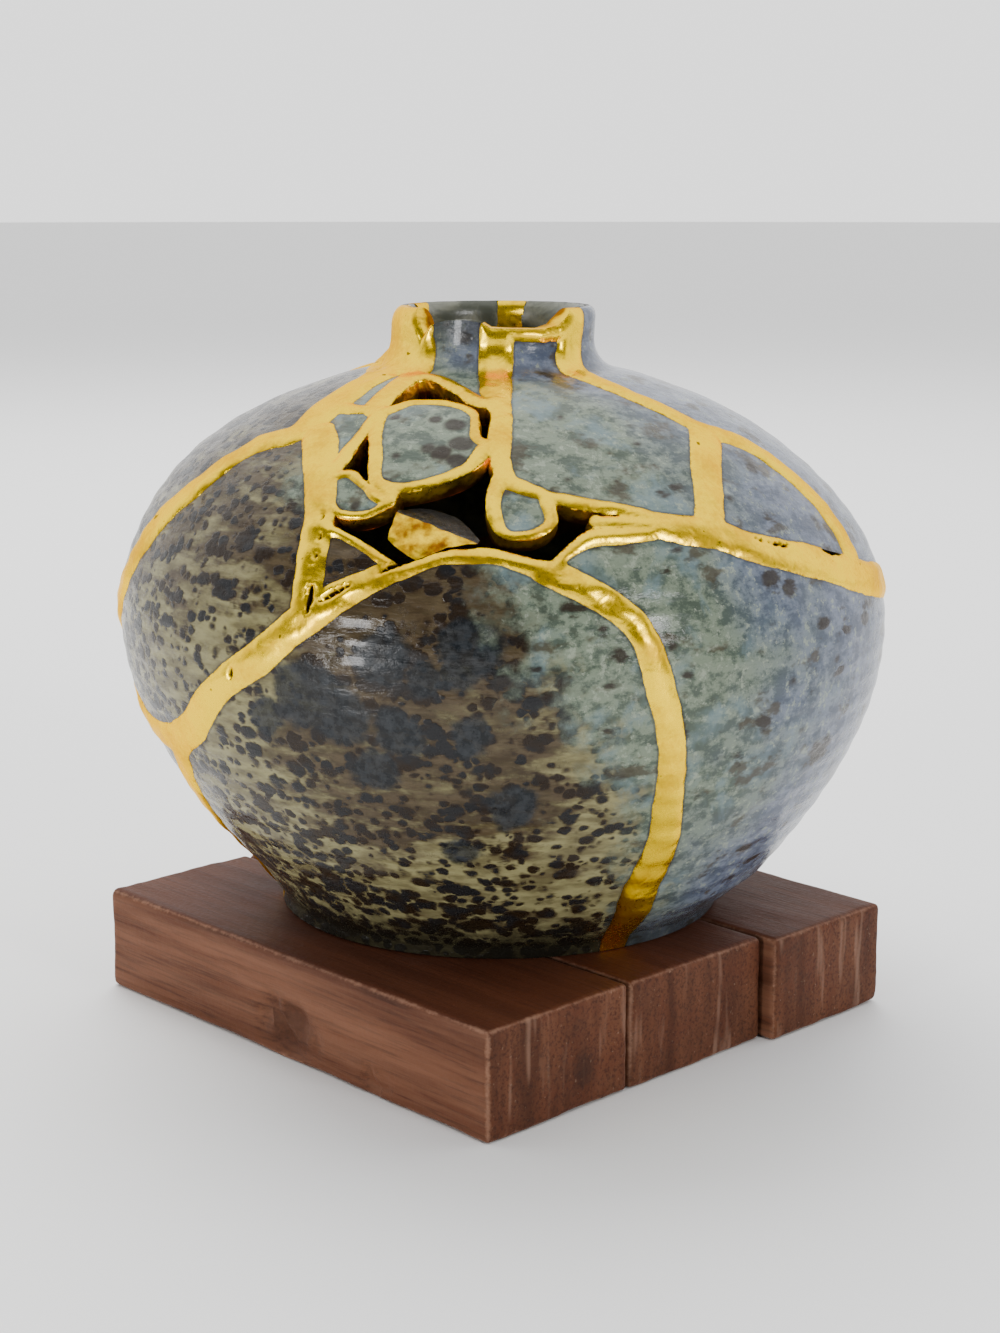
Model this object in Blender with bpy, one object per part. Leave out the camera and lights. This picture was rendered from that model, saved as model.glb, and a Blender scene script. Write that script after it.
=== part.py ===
"""A broken and mended stoneware vase on a stand of three boards.

The pot is a lopsided turned form.  Lines of gold lacquer run over it and part
it into sherds.  Each line is given by a few points on the wall and its width
there.  What the lines enclose is a sherd where it is named below, and an open
hole, where the sherd was lost, everywhere else.
"""
import math

import bmesh
import bpy
import numpy as np
from mathutils import Vector
from mathutils.geometry import delaunay_2d_cdt

MM = 0.001

# Room kept between pieces that touch
PIECE_GAP = 0.3 * MM

# Stand: three boards laid side by side, their length along X
BOARD_LENGTH = 140.0 * MM
BOARD_HEIGHT = 25.8 * MM
FRONT_BOARD_WIDTH = 43.9 * MM
MIDDLE_BOARD_WIDTH = 46.3 * MM
BACK_BOARD_WIDTH = 41.4 * MM
BACK_BOARD_SHIFT = 3.6 * MM
BOARD_ROUNDING = 1.8 * MM
ROUNDING_STEPS = 2

# Vase: sizes of the turned form, heights counted from its foot
FOOT_RADIUS = 54.8 * MM
FOOT_BAND = 3.0 * MM
FOOT_FLARE = 0.6 * MM
BELLY_RADIUS = 93.4 * MM
BELLY_HEIGHT = 73.0 * MM
SHOULDER_RISE = 61.8 * MM
NECK_RADIUS = 24.2 * MM
NECK_FILLET = 8.0 * MM
NECK_STRAIGHT = 4.47 * MM
LIP_HEIGHT = 2.8 * MM
LIP_EDGE = 1.2 * MM
WALL = 4.5 * MM
FLOOR_THICKNESS = 6.0 * MM
FLOOR_CURVE_START = 14.0 * MM
FLOOR_CURVE_END = 8.0 * MM
BELLY_FULLNESS = 0.94

# Heights on the wall are given in hundredths; these stand at the foot, the belly, the top of the fillet
# and the lip
HEIGHT_MARKS = (0, 49.83, 95.04, 100)

# Where the pot stands, and how its axis wanders sideways: height in hundredths, millimetres aside
VASE_CENTRE = (-1.3 * MM, 5.0 * MM)
SWAY_DIRECTION = math.radians(46.0)
SWAY = ((0, 0.6), (8.2, 3.9), (26.6, 2.6), (46.4, 1.7), (63.5, 0.6), (76.5, -1.5), (86.7, -1.5), (100, -0.3))

# Chipped front of the lip: angle in degrees and what is left of the height, in hundredths
LIP_CHIP = ((-97.0, 100), (-91.5, 98), (-87.0, 95.9), (-82.0, 97.5), (-72.0, 98.3), (-60.0, 98.4),
            (-51.0, 98), (-46.0, 97.2), (-16.0, 96.9), (-6.0, 97.5), (0.0, 98.7), (5.0, 100))

# Gold: how far it stands proud at its edge and along its middle
GOLD_EDGE = 0.3 * MM
GOLD_CROWN = 0.9 * MM
GOLD_RAMP = 2.4 * MM

# Gold lines: angle in degrees, height in hundredths, width in hundredths of the belly's radius.
# A height below zero is on the underside, in hundredths of the foot's radius inwards from its edge.
SEAMS = {
    "left_of_neck": ((-113, 100.3, 19.3), (-107, 96.9, 24.6), (-104, 94.9, 21.4), (-95.5, 92.8, 17.7),
        (-86, 91.3, 10.7), (-80.5, 89.8, 8), (-78, 88.4, 7), (-76, 86, 7), (-72.5, 85, 5.4)),
    "neck_to_shoulder": ((-104, 94.2, 12.8), (-99.5, 91, 11.2), (-96, 88.9, 10.7), (-92.5, 86.7, 12.3),
        (-89.5, 84, 11.6), (-90, 81.9, 10.2), (-93, 81, 8.6), (-97.5, 79.9, 8.6)),
    "round_the_belly": ((-97.5, 79.9, 8.6), (-101, 77, 9.1), (-104.5, 73, 9.6), (-109.5, 68.3, 10.2),
        (-113.5, 63.5, 10.2), (-118, 58, 10.2), (-124, 52.6, 9.6), (-132, 47.8, 9.1),
        (-143, 44.4, 8.6), (-170, 41, 8.6), (-202, 46.4, 8.6), (-238, 56.7, 8), (-255, 58.7, 8),
        (-272, 56, 8), (-288, 52.6, 8.6), (-305, 52.6, 8.6), (-320, 55.3, 9.6), (-333, 57.8, 9.6),
        (-348.1, 62.3, 9.6), (-355.8, 64.4, 9.2), (-364.4, 67, 8.6), (-368.5, 68.8, 8.8),
        (-372.6, 69.6, 9), (-378, 70.7, 8)),
    "left_edge": ((-84, 82.3, 8.6), (-79.6, 80.5, 9.6), (-74.8, 76.8, 8.5), (-72.1, 72.8, 7.7),
        (-71.4, 68.7, 7.9), (-71.2, 65.3, 7.9), (-71, 60.1, 7.9)),
    "falling_left": ((-66.7, 61, 7.9), (-70, 58.6, 8.6), (-73.5, 55.7, 8.5), (-77.2, 52.3, 8.6),
        (-81.8, 48.9, 7.8), (-85.4, 46.3, 7.5), (-89.1, 43, 8.6), (-94.2, 38.2, 8.8),
        (-101, 34.5, 9.1), (-105, 30, 9.1), (-109, 24.6, 8.6), (-114, 17.7, 8), (-121, 9.6, 7.5),
        (-127, 2, 7), (-128, -2, 6.4), (-122, -26, 6.4), (-105, -46, 6.4), (-77, -53, 6.4),
        (-45, -46, 6.4), (-24, -31, 6.4), (-15, -2, 7.5)),
    "left_branch": ((-101, 34.5, 9.1), (-110, 33.4, 8.6), (-122, 34.8, 8.6), (-134, 38.9, 8.6),
        (-143, 44.4, 8.6)),
    "arch": ((-66.7, 61, 7.9), (-63.5, 62.9, 7), (-59.5, 64.7, 5.6), (-56.2, 65.3, 3.2),
        (-51.7, 67, 3.3), (-46, 67.4, 4.2), (-42, 66.8, 4.1), (-37.6, 65.3, 4.8), (-35.2, 64.5, 7)),
    "falling_right": ((-38, 65.4, 5.4), (-35.2, 64.5, 7.2), (-30.3, 61.7, 7.2), (-26.1, 58, 6.9),
        (-24.3, 53.7, 7.1), (-23.2, 48.2, 7.4), (-21.9, 43.1, 7.2), (-20.7, 36.2, 7.3),
        (-20.4, 31, 7.7), (-19.4, 24.7, 8.6), (-19.2, 19.4, 9.6), (-19.8, 14.4, 10.3),
        (-19, 8.9, 10.3), (-16, 2.7, 8.6), (-15, -2, 7.5)),
    "slot_top": ((-41, 77.1, 4.9), (-34.8, 75.2, 3.6), (-30.2, 74.2, 4.4), (-26.3, 73.5, 4),
        (-23.1, 73, 3.4), (-18, 71.3, 5.4)),
    "slot_foot": ((-35.5, 65.7, 4.3), (-34.6, 67, 3), (-32.2, 68.4, 3.3), (-29.1, 69.5, 4.9),
        (-24.8, 69.6, 4.5), (-18, 70, 4.3)),
    "slot_web": ((-28, 71.6, 3.6), (-24, 71.4, 3.6), (-18, 70.7, 5.4)),
    "right_shoulder": ((5, 100.3, 9.6), (5, 96.2, 9.6), (2.5, 93.2, 9.1), (-0.7, 90.5, 9.1),
        (1.6, 87.4, 7.5), (6.2, 84.4, 7.3), (9.5, 82, 8), (14, 80.8, 8), (18, 79.2, 8.4),
        (21, 76.1, 8.6), (22.3, 71.7, 8.6), (22.2, 67.2, 8.6), (21.5, 63.5, 9.1), (20, 60.1, 9.6)),
    "shoulder_bridge": ((9.5, 81.9, 8.6), (6.7, 81, 8.9), (1, 78.7, 8.6), (-3.2, 76, 8.6),
        (-8, 71.6, 7.9), (-9.5, 69.3, 8.6)),
    "front_of_neck": ((-42.7, 100.3, 8.8), (-42.7, 96.9, 8.8), (-42.3, 92.6, 8.8), (-42.3, 88.1, 8.1),
        (-41.1, 85.5, 5.1), (-41.8, 82.6, 5.9), (-41.8, 79.9, 4.9), (-41, 77.1, 5.1)),
    "lip": ((-41, 96.6, 3.9), (-30, 96.2, 3.4), (-17, 96, 3.9), (-6, 96.4, 5.4), (3, 96.9, 8.6)),
    "neck_sill": ((-78, 89.1, 5.4), (-73.1, 89.6, 4.3), (-65.2, 89.4, 3.9), (-58.8, 88.8, 4.1),
        (-51.4, 87.7, 4.1), (-46.3, 86.8, 5.4), (-42, 87, 5.4)),
    "round_top": ((-72.5, 85, 4.8), (-70.2, 85.6, 3.9), (-65.9, 86.6, 3), (-57.1, 86.7, 2.6),
        (-51.1, 86.2, 2.6), (-48, 85.3, 2.4), (-47.3, 83.7, 2.4), (-46.4, 82.3, 3), (-42, 81.4, 4.3)),
    "round_left": ((-72.5, 85, 4.8), (-68.9, 82.3, 3.6), (-66.2, 79.9, 3.4), (-63.8, 76.8, 3.6),
        (-60.4, 75.1, 3.6)),
    "round_foot": ((-63.5, 76.5, 3.4), (-60.4, 76, 3.4), (-56.3, 76.4, 3), (-51.6, 77.5, 3),
        (-47.6, 79, 3.4), (-44.6, 81.1, 4.7)),
    "leaf_foot": ((-92, 85.7, 7.5), (-83, 85.3, 5.4), (-76, 85.5, 4.8)),
    "beside_triangle": ((-73, 84.6, 3.6), (-72.6, 82.6, 3.4), (-72.5, 80.9, 3.9), (-73, 78.5, 4.9),
        (-74, 76.5, 5.4)),
    "light_chip_top": ((-72.5, 76.9, 3.2), (-69.2, 77.4, 2.6), (-65.2, 75.9, 2.6), (-62.6, 74.5, 2.8),
        (-60.4, 74.3, 3.2)),
    "light_chip_foot": ((-71.5, 73.7, 4.3), (-69.6, 72.8, 2.4), (-67.8, 72.3, 2.1), (-65, 72.3, 2.1),
        (-62.4, 73, 2.1), (-60.4, 74.3, 3.2)),
    "dark_chip_top": ((-71.5, 70.4, 4.3), (-67.3, 69.6, 2.1), (-63.4, 68.2, 2.1), (-60.6, 66.8, 2.6),
        (-58.8, 65.5, 3.4)),
    "grey_chip": ((-41.8, 77.5, 4.3), (-43.3, 75.1, 3.6), (-43.5, 72.4, 3.4), (-42.4, 70.4, 2.8),
        (-39.5, 70, 2.4), (-37, 70.6, 2.8), (-35, 71.9, 3.2), (-34.9, 73.7, 3.4), (-35, 75.1, 3.6)),
    "collar": ((-96, 88.4, 8.6), (-103, 89.3, 5.6), (-112, 89.8, 4.9), (-126, 90.4, 5.1),
        (-142, 91.8, 5.9), (-154, 94.9, 6.4), (-162, 100.3, 6.4)),
    "back_of_neck": ((125, 100.3, 8.6), (125, 96.2, 8.6), (124, 91.5, 8), (121, 86, 8), (114, 77.8, 8),
        (107, 68.3, 8), (105, 58.7, 8)),
    "back_rise": ((172, 42.3, 8.6), (169, 53.2, 8), (172, 65.5, 8), (179, 76.5, 7.5), (190, 84.6, 7),
        (203, 93.5, 6.4)),
    "back_fall": ((74, 52.6, 8.6), (76, 42.3, 8), (80, 30.7, 8), (84, 19.1, 8), (86, 6.8, 7.5),
        (86, -2, 6.4), (87, -55, 6.4), (95, -93, 6.4), (272, -82, 6.4), (283, -53, 6.4)),
    "back_foot": ((160, 44.4, 8.6), (163, 35.5, 8), (171, 24.6, 8), (182, 13.7, 8), (190, 4.1, 7.5),
        (193, -2, 6.4), (200, -29, 6.4), (222, -46, 6.4), (247, -38, 6.4)),
}

# Sherds that are there: a point on each, angle in degrees and height in hundredths
SHERDS = {
    "sherd_belly_front": (-60, 34.1),
    "sherd_belly_right": (20, 41),
    "sherd_belly_back": (130, 27.3),
    "sherd_belly_back_left": (215, 20.5),
    "sherd_left": (-95, 61.4),
    "sherd_shoulder_front": (-20, 83.3),
    "sherd_shoulder_right": (8, 73.7),
    "sherd_shoulder_back_right": (60, 75.1),
    "sherd_shoulder_back": (145, 68.3),
    "sherd_shoulder_back_left": (230, 75.1),
    "sherd_neck_front": (-60, 93.5),
    "sherd_neck_left": (-140, 96.2),
    "sherd_round": (-58, 81.9),
    "sherd_leaf": (-86, 88.4),
    "sherd_triangle": (-78, 83.1),
    "sherd_chip_light": (-66, 74.1),
    "sherd_chip_dark": (-65.5, 66.6),
    "sherd_chip_grey": (-39.5, 73),
}
BLUE_SHERDS = ("sherd_belly_right", "sherd_shoulder_front", "sherd_shoulder_right",
               "sherd_shoulder_back_right", "sherd_neck_front", "sherd_neck_left", "sherd_chip_grey",
               "sherd_chip_light", "sherd_leaf", "sherd_triangle", "sherd_round")

# Sherd that tipped inwards in the hole: the top and foot of its broken edge, its depth behind them
TIPPED_TOP = ((-59.2, 73.4), (-46.3, 69.4))
TIPPED_FOOT = ((-60.0, 69.6), (-55.6, 67), (-50.4, 68.8))
TIPPED_DEPTH = 11.0 * MM
TIPPED_ENDS = 2.5 * MM
TIPPED_INSET = 1.0 * MM
TIPPED_STEPS = 8
TIPPED_SLOPE = 0.12

# Fineness of the model
PROFILE_STEP = 0.5 * MM
FIELD_STEP = 0.8 * MM
FIELD_REACH = 5.0 * MM
ARC_SHARE = 1.3
CURVE_STEPS = 5
ANGLE_TOLERANCE = 1e-12
OUTLINE_TOLERANCE = 0.2 * MM
SURFACE_STEP = 12.5 * MM
SURFACE_TURN = math.radians(24)
AROUND_STEPS = 22
UNDERSIDE_STEPS = 5
FOOT_SHARE = 0.6
GOLD_STEP = 10.0 * MM
GOLD_CORE = 1.0 * MM
KEEP_OFF = 0.45
SHARP_ANGLE = math.radians(40)


def arc_points(centre, radii, start, end):
    """Points of an elliptical arc at about PROFILE_STEP."""
    length = abs(end - start) * max(radii)
    count = max(3, int(length / PROFILE_STEP))
    angles = np.linspace(start, end, count)
    return [(centre[0] + radii[0] * math.cos(a), centre[1] + radii[1] * math.sin(a)) for a in angles]


def neck_tangent():
    """Angle on the shoulder's ellipse where the fillet to the neck starts, and the fillet's centre."""
    low, high = 0.0, math.pi / 2
    while high - low > ANGLE_TOLERANCE:
        angle = (low + high) / 2
        normal = np.array((math.cos(angle) / BELLY_RADIUS, math.sin(angle) / SHOULDER_RISE))
        normal /= np.linalg.norm(normal)
        radius = BELLY_RADIUS * math.cos(angle) + NECK_FILLET * normal[0]
        if radius > NECK_RADIUS + NECK_FILLET:
            low = angle
        else:
            high = angle
    height = BELLY_HEIGHT + SHOULDER_RISE * math.sin(angle) + NECK_FILLET * normal[1]
    return angle, normal, (NECK_RADIUS + NECK_FILLET, height)


def outer_profile():
    """Radius and height along the outside, from the middle of the underside to the lip."""
    points = [(r, 0.0) for r in np.arange(0.0, FOOT_RADIUS, PROFILE_STEP)]
    points.append((FOOT_RADIUS, 0.0))
    foot_top = FOOT_RADIUS + FOOT_FLARE
    points.append((foot_top, FOOT_BAND))
    steps = int((BELLY_HEIGHT - FOOT_BAND) / PROFILE_STEP)
    for share in np.linspace(0, 1, steps)[1:-1]:
        swell = math.sin(math.pi / 2 * share ** BELLY_FULLNESS)
        radius = foot_top + (BELLY_RADIUS - foot_top) * swell
        points.append((radius, FOOT_BAND + (BELLY_HEIGHT - FOOT_BAND) * share))
    angle, normal, fillet = neck_tangent()
    points += arc_points((0, BELLY_HEIGHT), (BELLY_RADIUS, SHOULDER_RISE), 0, angle)
    start = math.atan2(-normal[1], -normal[0]) + 2 * math.pi
    points += arc_points(fillet, (NECK_FILLET, NECK_FILLET), start, math.pi)[1:]
    lip_width = (WALL - LIP_EDGE) / 2
    lip_start = fillet[1] + NECK_STRAIGHT
    points += [(NECK_RADIUS, z) for z in np.arange(fillet[1], lip_start, PROFILE_STEP)[1:]]
    points += arc_points((NECK_RADIUS - lip_width, lip_start), (lip_width, LIP_HEIGHT), 0, math.pi / 2)
    return np.array(points)


def smooth_step(value, low, high):
    t = np.clip((value - low) / (high - low), 0, 1)
    return t * t * (3 - 2 * t)


class Wall:
    """The turned wall: a place on it is an angle and a reach, the way walked along the outside."""

    def __init__(self):
        points = outer_profile()
        steps = np.hypot(*np.diff(points, axis=0).T)
        keep = np.concatenate(([True], steps > 1e-9))
        points = points[keep]
        self.reach = np.concatenate(([0], np.cumsum(np.hypot(*np.diff(points, axis=0).T))))
        self.radius, self.height = points.T
        self.top = self.reach[-1]
        self.foot = FOOT_RADIUS
        self.marks = (0, BELLY_HEIGHT, neck_tangent()[2][1], self.height[-1])
        tangent = np.gradient(points, self.reach, axis=0)
        self.slope = np.unwrap(np.arctan2(-tangent[:, 0], tangent[:, 1]))
        self.inner_points()
        self.plane_points()

    def inner_points(self):
        """The inside: the outside moved in by the wall, round inside the foot and mirrored in the lip."""
        body_start = self.foot + FOOT_BAND + FLOOR_CURVE_END
        blend = smooth_step(self.reach, self.foot - FLOOR_CURVE_START, body_start)
        steady = np.interp(np.maximum(self.reach, body_start), self.reach, self.slope)
        turn = (1 - blend) * (-math.pi / 2) + blend * steady
        depth = (1 - blend) * FLOOR_THICKNESS + blend * WALL
        radius = self.radius - depth * np.cos(turn)
        height = self.height - depth * np.sin(turn)
        neck_start = neck_tangent()[2][1]
        in_neck = (self.height > neck_start) & (self.reach > body_start)
        middle = NECK_RADIUS - WALL / 2
        self.inner_radius = np.where(in_neck, 2 * middle - self.radius, radius)
        self.inner_height = np.where(in_neck, self.height, height)

    def plane_points(self):
        """Distance from the middle when the wall is laid flat with its angles kept true."""
        beyond = self.reach >= self.foot
        spread = np.zeros_like(self.reach)
        gain = np.diff(self.reach) / ((self.radius[1:] + self.radius[:-1]) / 2)
        spread[1:] = np.cumsum(np.where(beyond[:-1], gain, 0))
        self.plane = np.where(beyond, np.exp(spread), self.reach / self.foot)

    def at_height(self, share):
        """Reach at a height in hundredths, or on the underside for a number below zero."""
        share = np.asarray(share, float)
        walls = self.reach >= self.foot
        height = np.interp(share, HEIGHT_MARKS, self.marks)
        above = np.interp(height, self.height[walls], self.reach[walls])
        return np.where(share < 0, self.foot * (1 + share / 100), above)

    def to_plane(self, angle, reach):
        distance = np.interp(reach, self.reach, self.plane)
        return np.stack((distance * np.cos(angle), distance * np.sin(angle)), -1)

    def from_plane(self, flat):
        distance = np.hypot(flat[..., 0], flat[..., 1])
        return np.arctan2(flat[..., 1], flat[..., 0]), np.interp(distance, self.plane, self.reach)

    def sway(self, height):
        table = np.array(SWAY)
        return np.interp(height, np.interp(table[:, 0], HEIGHT_MARKS, self.marks), table[:, 1] * MM)

    def place(self, angle, radius, height, outside_height):
        shift = self.sway(outside_height)
        x = VASE_CENTRE[0] + shift * math.cos(SWAY_DIRECTION) + radius * np.cos(angle)
        y = VASE_CENTRE[1] + shift * math.sin(SWAY_DIRECTION) + radius * np.sin(angle)
        return np.stack(np.broadcast_arrays(x, y, height + BOARD_HEIGHT + PIECE_GAP), -1)

    def outside(self, angle, reach, lift=0.0):
        slope = np.interp(reach, self.reach, self.slope)
        radius = np.interp(reach, self.reach, self.radius)
        height = np.interp(reach, self.reach, self.height)
        return self.place(angle, radius + lift * np.cos(slope), height + lift * np.sin(slope), height)

    def inside(self, angle, reach):
        radius = np.interp(reach, self.reach, self.inner_radius)
        height = np.interp(reach, self.reach, self.inner_height)
        return self.place(angle, radius, height, np.interp(reach, self.reach, self.height))

    def lip(self, angle):
        """Reach of the broken lip at an angle."""
        table = np.array(LIP_CHIP)
        left = np.interp(np.degrees(angle), table[:, 0], table[:, 1])
        return np.where(left < 100, self.at_height(left), self.top)


def smooth_line(wall, stations):
    """A gold line as a smooth curve: flat points and half widths."""
    table = np.array(stations, float)
    flat = wall.to_plane(np.radians(table[:, 0]), wall.at_height(table[:, 1]))
    half = table[:, 2] / 100 * BELLY_RADIUS / 2
    ends = np.concatenate(([2 * flat[0] - flat[1]], flat, [2 * flat[-1] - flat[-2]]))
    points = []
    widths = []
    for i in range(len(flat) - 1):
        a, b, c, d = ends[i:i + 4]
        for t in np.arange(CURVE_STEPS) / CURVE_STEPS:
            square = (2 * a - 5 * b + 4 * c - d) * t ** 2
            cube = (3 * b - a - 3 * c + d) * t ** 3
            points.append((2 * b + (c - a) * t + square + cube) / 2)
            widths.append(half[i] + (half[i + 1] - half[i]) * t)
    points.append(flat[-1])
    widths.append(half[-1])
    return np.array(points), np.array(widths)


class Field:
    """Distance from the edge of the nearest gold line, on a grid over the wall: below zero is gold."""

    def __init__(self, wall):
        self.wall = wall
        self.rows = int(wall.top / FIELD_STEP) + 3
        self.columns = int(2 * math.pi * BELLY_RADIUS / FIELD_STEP)
        self.reach = np.arange(self.rows) * FIELD_STEP
        self.angle = -math.pi + 2 * math.pi * np.arange(self.columns) / self.columns
        self.place = wall.outside(self.angle[None, :], self.reach[:, None])
        self.value = np.full((self.rows, self.columns), FIELD_REACH)
        self.lines = [smooth_line(wall, stations) for stations in SEAMS.values()]
        for flat, half in self.lines:
            self.draw(flat, half)

    def draw(self, flat, half):
        angle, reach = self.wall.from_plane(flat)
        points = self.wall.outside(angle, reach)
        for i in range(len(points) - 1):
            margin = max(half[i], half[i + 1]) + FIELD_REACH
            low = max(0, int((min(reach[i], reach[i + 1]) - margin) / FIELD_STEP))
            high = min(self.rows, int((max(reach[i], reach[i + 1]) + margin) / FIELD_STEP) + 2)
            radius = np.interp(self.reach[low:high], self.wall.reach, self.wall.radius).min()
            turn = (angle[i + 1] - angle[i] + math.pi) % (2 * math.pi) - math.pi
            spread = abs(turn) / 2 + ARC_SHARE * margin / max(radius, FIELD_STEP)
            if spread < math.pi:
                middle = (angle[i] + turn / 2 + math.pi) / (2 * math.pi) * self.columns
                aside = int(spread / (2 * math.pi) * self.columns) + 2
                columns = np.unique(np.arange(int(middle) - aside, int(middle) + aside + 1) % self.columns)
            else:
                columns = np.arange(self.columns)
            block = np.ix_(np.arange(low, high), columns)
            start, step = points[i], points[i + 1] - points[i]
            away = self.place[block] - start
            t = np.clip(away @ step / max(step @ step, 1e-12), 0, 1)
            width = half[i] + (half[i + 1] - half[i]) * t
            gap = np.linalg.norm(away - t[..., None] * step, axis=-1) - width
            self.value[block] = np.minimum(self.value[block], gap)

    def sample(self, angle, reach):
        column = (np.asarray(angle) + math.pi) / (2 * math.pi) * self.columns
        row = np.clip(np.asarray(reach) / FIELD_STEP, 0, self.rows - 1.001)
        i, j = np.floor(row).astype(int), np.floor(column).astype(int)
        u, v = row - i, column - j
        left, right = j % self.columns, (j + 1) % self.columns
        grid = self.value
        low = grid[i, left] * (1 - v) + grid[i, right] * v
        high = grid[i + 1, left] * (1 - v) + grid[i + 1, right] * v
        return low * (1 - u) + high * u

    def loops(self, inside):
        """Closed outlines of the region where the grid of values is above zero, as angle and reach."""
        rows, columns = inside.shape
        above = inside > 0
        right = np.roll(above, -1, axis=1)
        count = above[:-1].astype(int) + right[:-1] + above[1:] + right[1:]
        following = {}
        for i, j in zip(*np.nonzero((count > 0) & (count < 4))):
            k = (j + 1) % columns
            corners = (above[i, j], above[i, k], above[i + 1, k], above[i + 1, j])
            edges = (("h", i, j), ("v", i, k), ("h", i + 1, j), ("v", i, j))
            starts = [edges[n] for n in range(4) if corners[n] and not corners[(n + 1) % 4]]
            ends = [edges[n] for n in range(4) if not corners[n] and corners[(n + 1) % 4]]
            if len(starts) == 2:
                middle = inside[i, j] + inside[i, k] + inside[i + 1, k] + inside[i + 1, j]
                first = edges.index(starts[0])
                partner = edges[(first + 1) % 4] if middle > 0 else edges[(first - 1) % 4]
                if ends[0] != partner:
                    ends.reverse()
            for start, end in zip(starts, ends):
                following[start] = end
        loops = []
        while following:
            start, edge = following.popitem()
            loop = [start]
            while edge != start:
                loop.append(edge)
                edge = following.pop(edge)
            loops.append(np.array([self.crossing(inside, *key) for key in loop]))
        return loops

    def crossing(self, inside, kind, i, j):
        if kind == "h":
            a, b = inside[i, j], inside[i, (j + 1) % self.columns]
            t = a / (a - b)
            return self.angle[j] + t * 2 * math.pi / self.columns, self.reach[i]
        a, b = inside[i, j], inside[i + 1, j]
        t = a / (a - b)
        return self.angle[j], self.reach[i] + t * FIELD_STEP


def simplify(points, tolerance):
    """Indices of the points that a closed outline needs."""
    centre_distance = np.linalg.norm(points - points[0], axis=1)
    far = int(np.argmax(centre_distance))
    keep = {0, far}
    total = len(points)
    stack = [(0, far), (far, total)]
    while stack:
        low, high = stack.pop()
        if high - low < 2:
            continue
        start, end = points[low], points[high % total]
        middle = points[low + 1:high]
        step = end - start
        t = np.clip((middle - start) @ step / max(step @ step, 1e-18), 0, 1)
        distance = np.linalg.norm(middle - start - t[:, None] * step, axis=1)
        worst = int(np.argmax(distance))
        if distance[worst] > tolerance:
            index = low + 1 + worst
            keep.add(index)
            stack += [(low, index), (index, high)]
    return sorted(keep)


def inside_loops(points, loops):
    """Whether flat points lie inside an odd number of the outlines."""
    crossings = np.zeros(len(points), int)
    for loop in loops:
        after = np.roll(loop, -1, axis=0)
        for (x0, y0), (x1, y1) in zip(loop, after):
            if y0 == y1:
                continue
            hit = (points[:, 1] > y0) != (points[:, 1] > y1)
            x = x0 + (points[:, 1] - y0) / (y1 - y0) * (x1 - x0)
            crossings += hit & (points[:, 0] < x)
    return crossings % 2 == 1


def spread_points(wall):
    """Points over the whole wall, in rows that lie closer where the wall turns sharply."""
    turns = np.abs(np.diff(wall.slope))
    costs = np.maximum(np.diff(wall.reach) / SURFACE_STEP, turns / SURFACE_TURN)
    walls = wall.reach[1:] > wall.foot + FOOT_BAND
    walked = np.concatenate(([0], np.cumsum(np.where(walls, costs, 0))))
    marks = np.arange(1, int(walked[-1]) + 1) * walked[-1] / (int(walked[-1]) + 0.5)
    above = list(np.interp(marks, walked, wall.reach))
    below = list(np.arange(wall.foot, SURFACE_STEP / 2, -SURFACE_STEP))
    rows = []
    for n, reach in enumerate(sorted(below + [wall.foot + FOOT_BAND] + above)):
        radius = np.interp(reach, wall.reach, wall.radius)
        fewest = AROUND_STEPS if reach > wall.foot else UNDERSIDE_STEPS
        step = FOOT_SHARE * SURFACE_STEP if reach == wall.foot else SURFACE_STEP
        around = max(fewest, int(2 * math.pi * radius / step))
        for k in range(around):
            rows.append(((k + n % 2 / 2) / around * 2 * math.pi - math.pi, reach))
    return np.array(rows)


def plate(wall, loops, inner, lift):
    """Closed solid of the wall inside the outlines, as points and triangles."""
    rings = [wall.to_plane(loop[:, 0], loop[:, 1]) for loop in loops]
    flat = np.concatenate(rings + ([wall.to_plane(inner[:, 0], inner[:, 1])] if len(inner) else []))
    edges = []
    first = 0
    for ring in rings:
        count = len(ring)
        edges += [(first + k, first + (k + 1) % count) for k in range(count)]
        first += count
    result = delaunay_2d_cdt([Vector(p) for p in flat.tolist()], edges, [], 0, 1e-9)
    points = np.array([tuple(v) for v in result[0]])
    triangles = np.array([face for face in result[2]])
    centres = points[triangles].mean(axis=1)
    triangles = triangles[inside_loops(centres, rings)]
    source = [sources[0] for sources in result[3]]
    places = np.concatenate(loops + ([inner] if len(inner) else []))[source]
    outside = wall.outside(places[:, 0], places[:, 1], lift(places[:, 0], places[:, 1]))
    inside = wall.inside(places[:, 0], places[:, 1])
    total = len(places)
    faces = [tuple(t) for t in triangles] + [(t[2] + total, t[1] + total, t[0] + total) for t in triangles]
    sides = {}
    for a, b, c in triangles:
        for start, end in ((a, b), (b, c), (c, a)):
            if (end, start) in sides:
                del sides[(end, start)]
            else:
                sides[(start, end)] = True
    for start, end in sides:
        faces += [(start, start + total, end + total), (start, end + total, end)]
    return np.concatenate((outside, inside)), faces


def material(name, colour, roughness, metallic=0.0):
    made = bpy.data.materials.new(name)
    made.use_nodes = True
    shader = made.node_tree.nodes["Principled BSDF"]
    shader.inputs["Base Color"].default_value = (*colour, 1)
    shader.inputs["Roughness"].default_value = roughness
    shader.inputs["Metallic"].default_value = metallic
    return made


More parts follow.
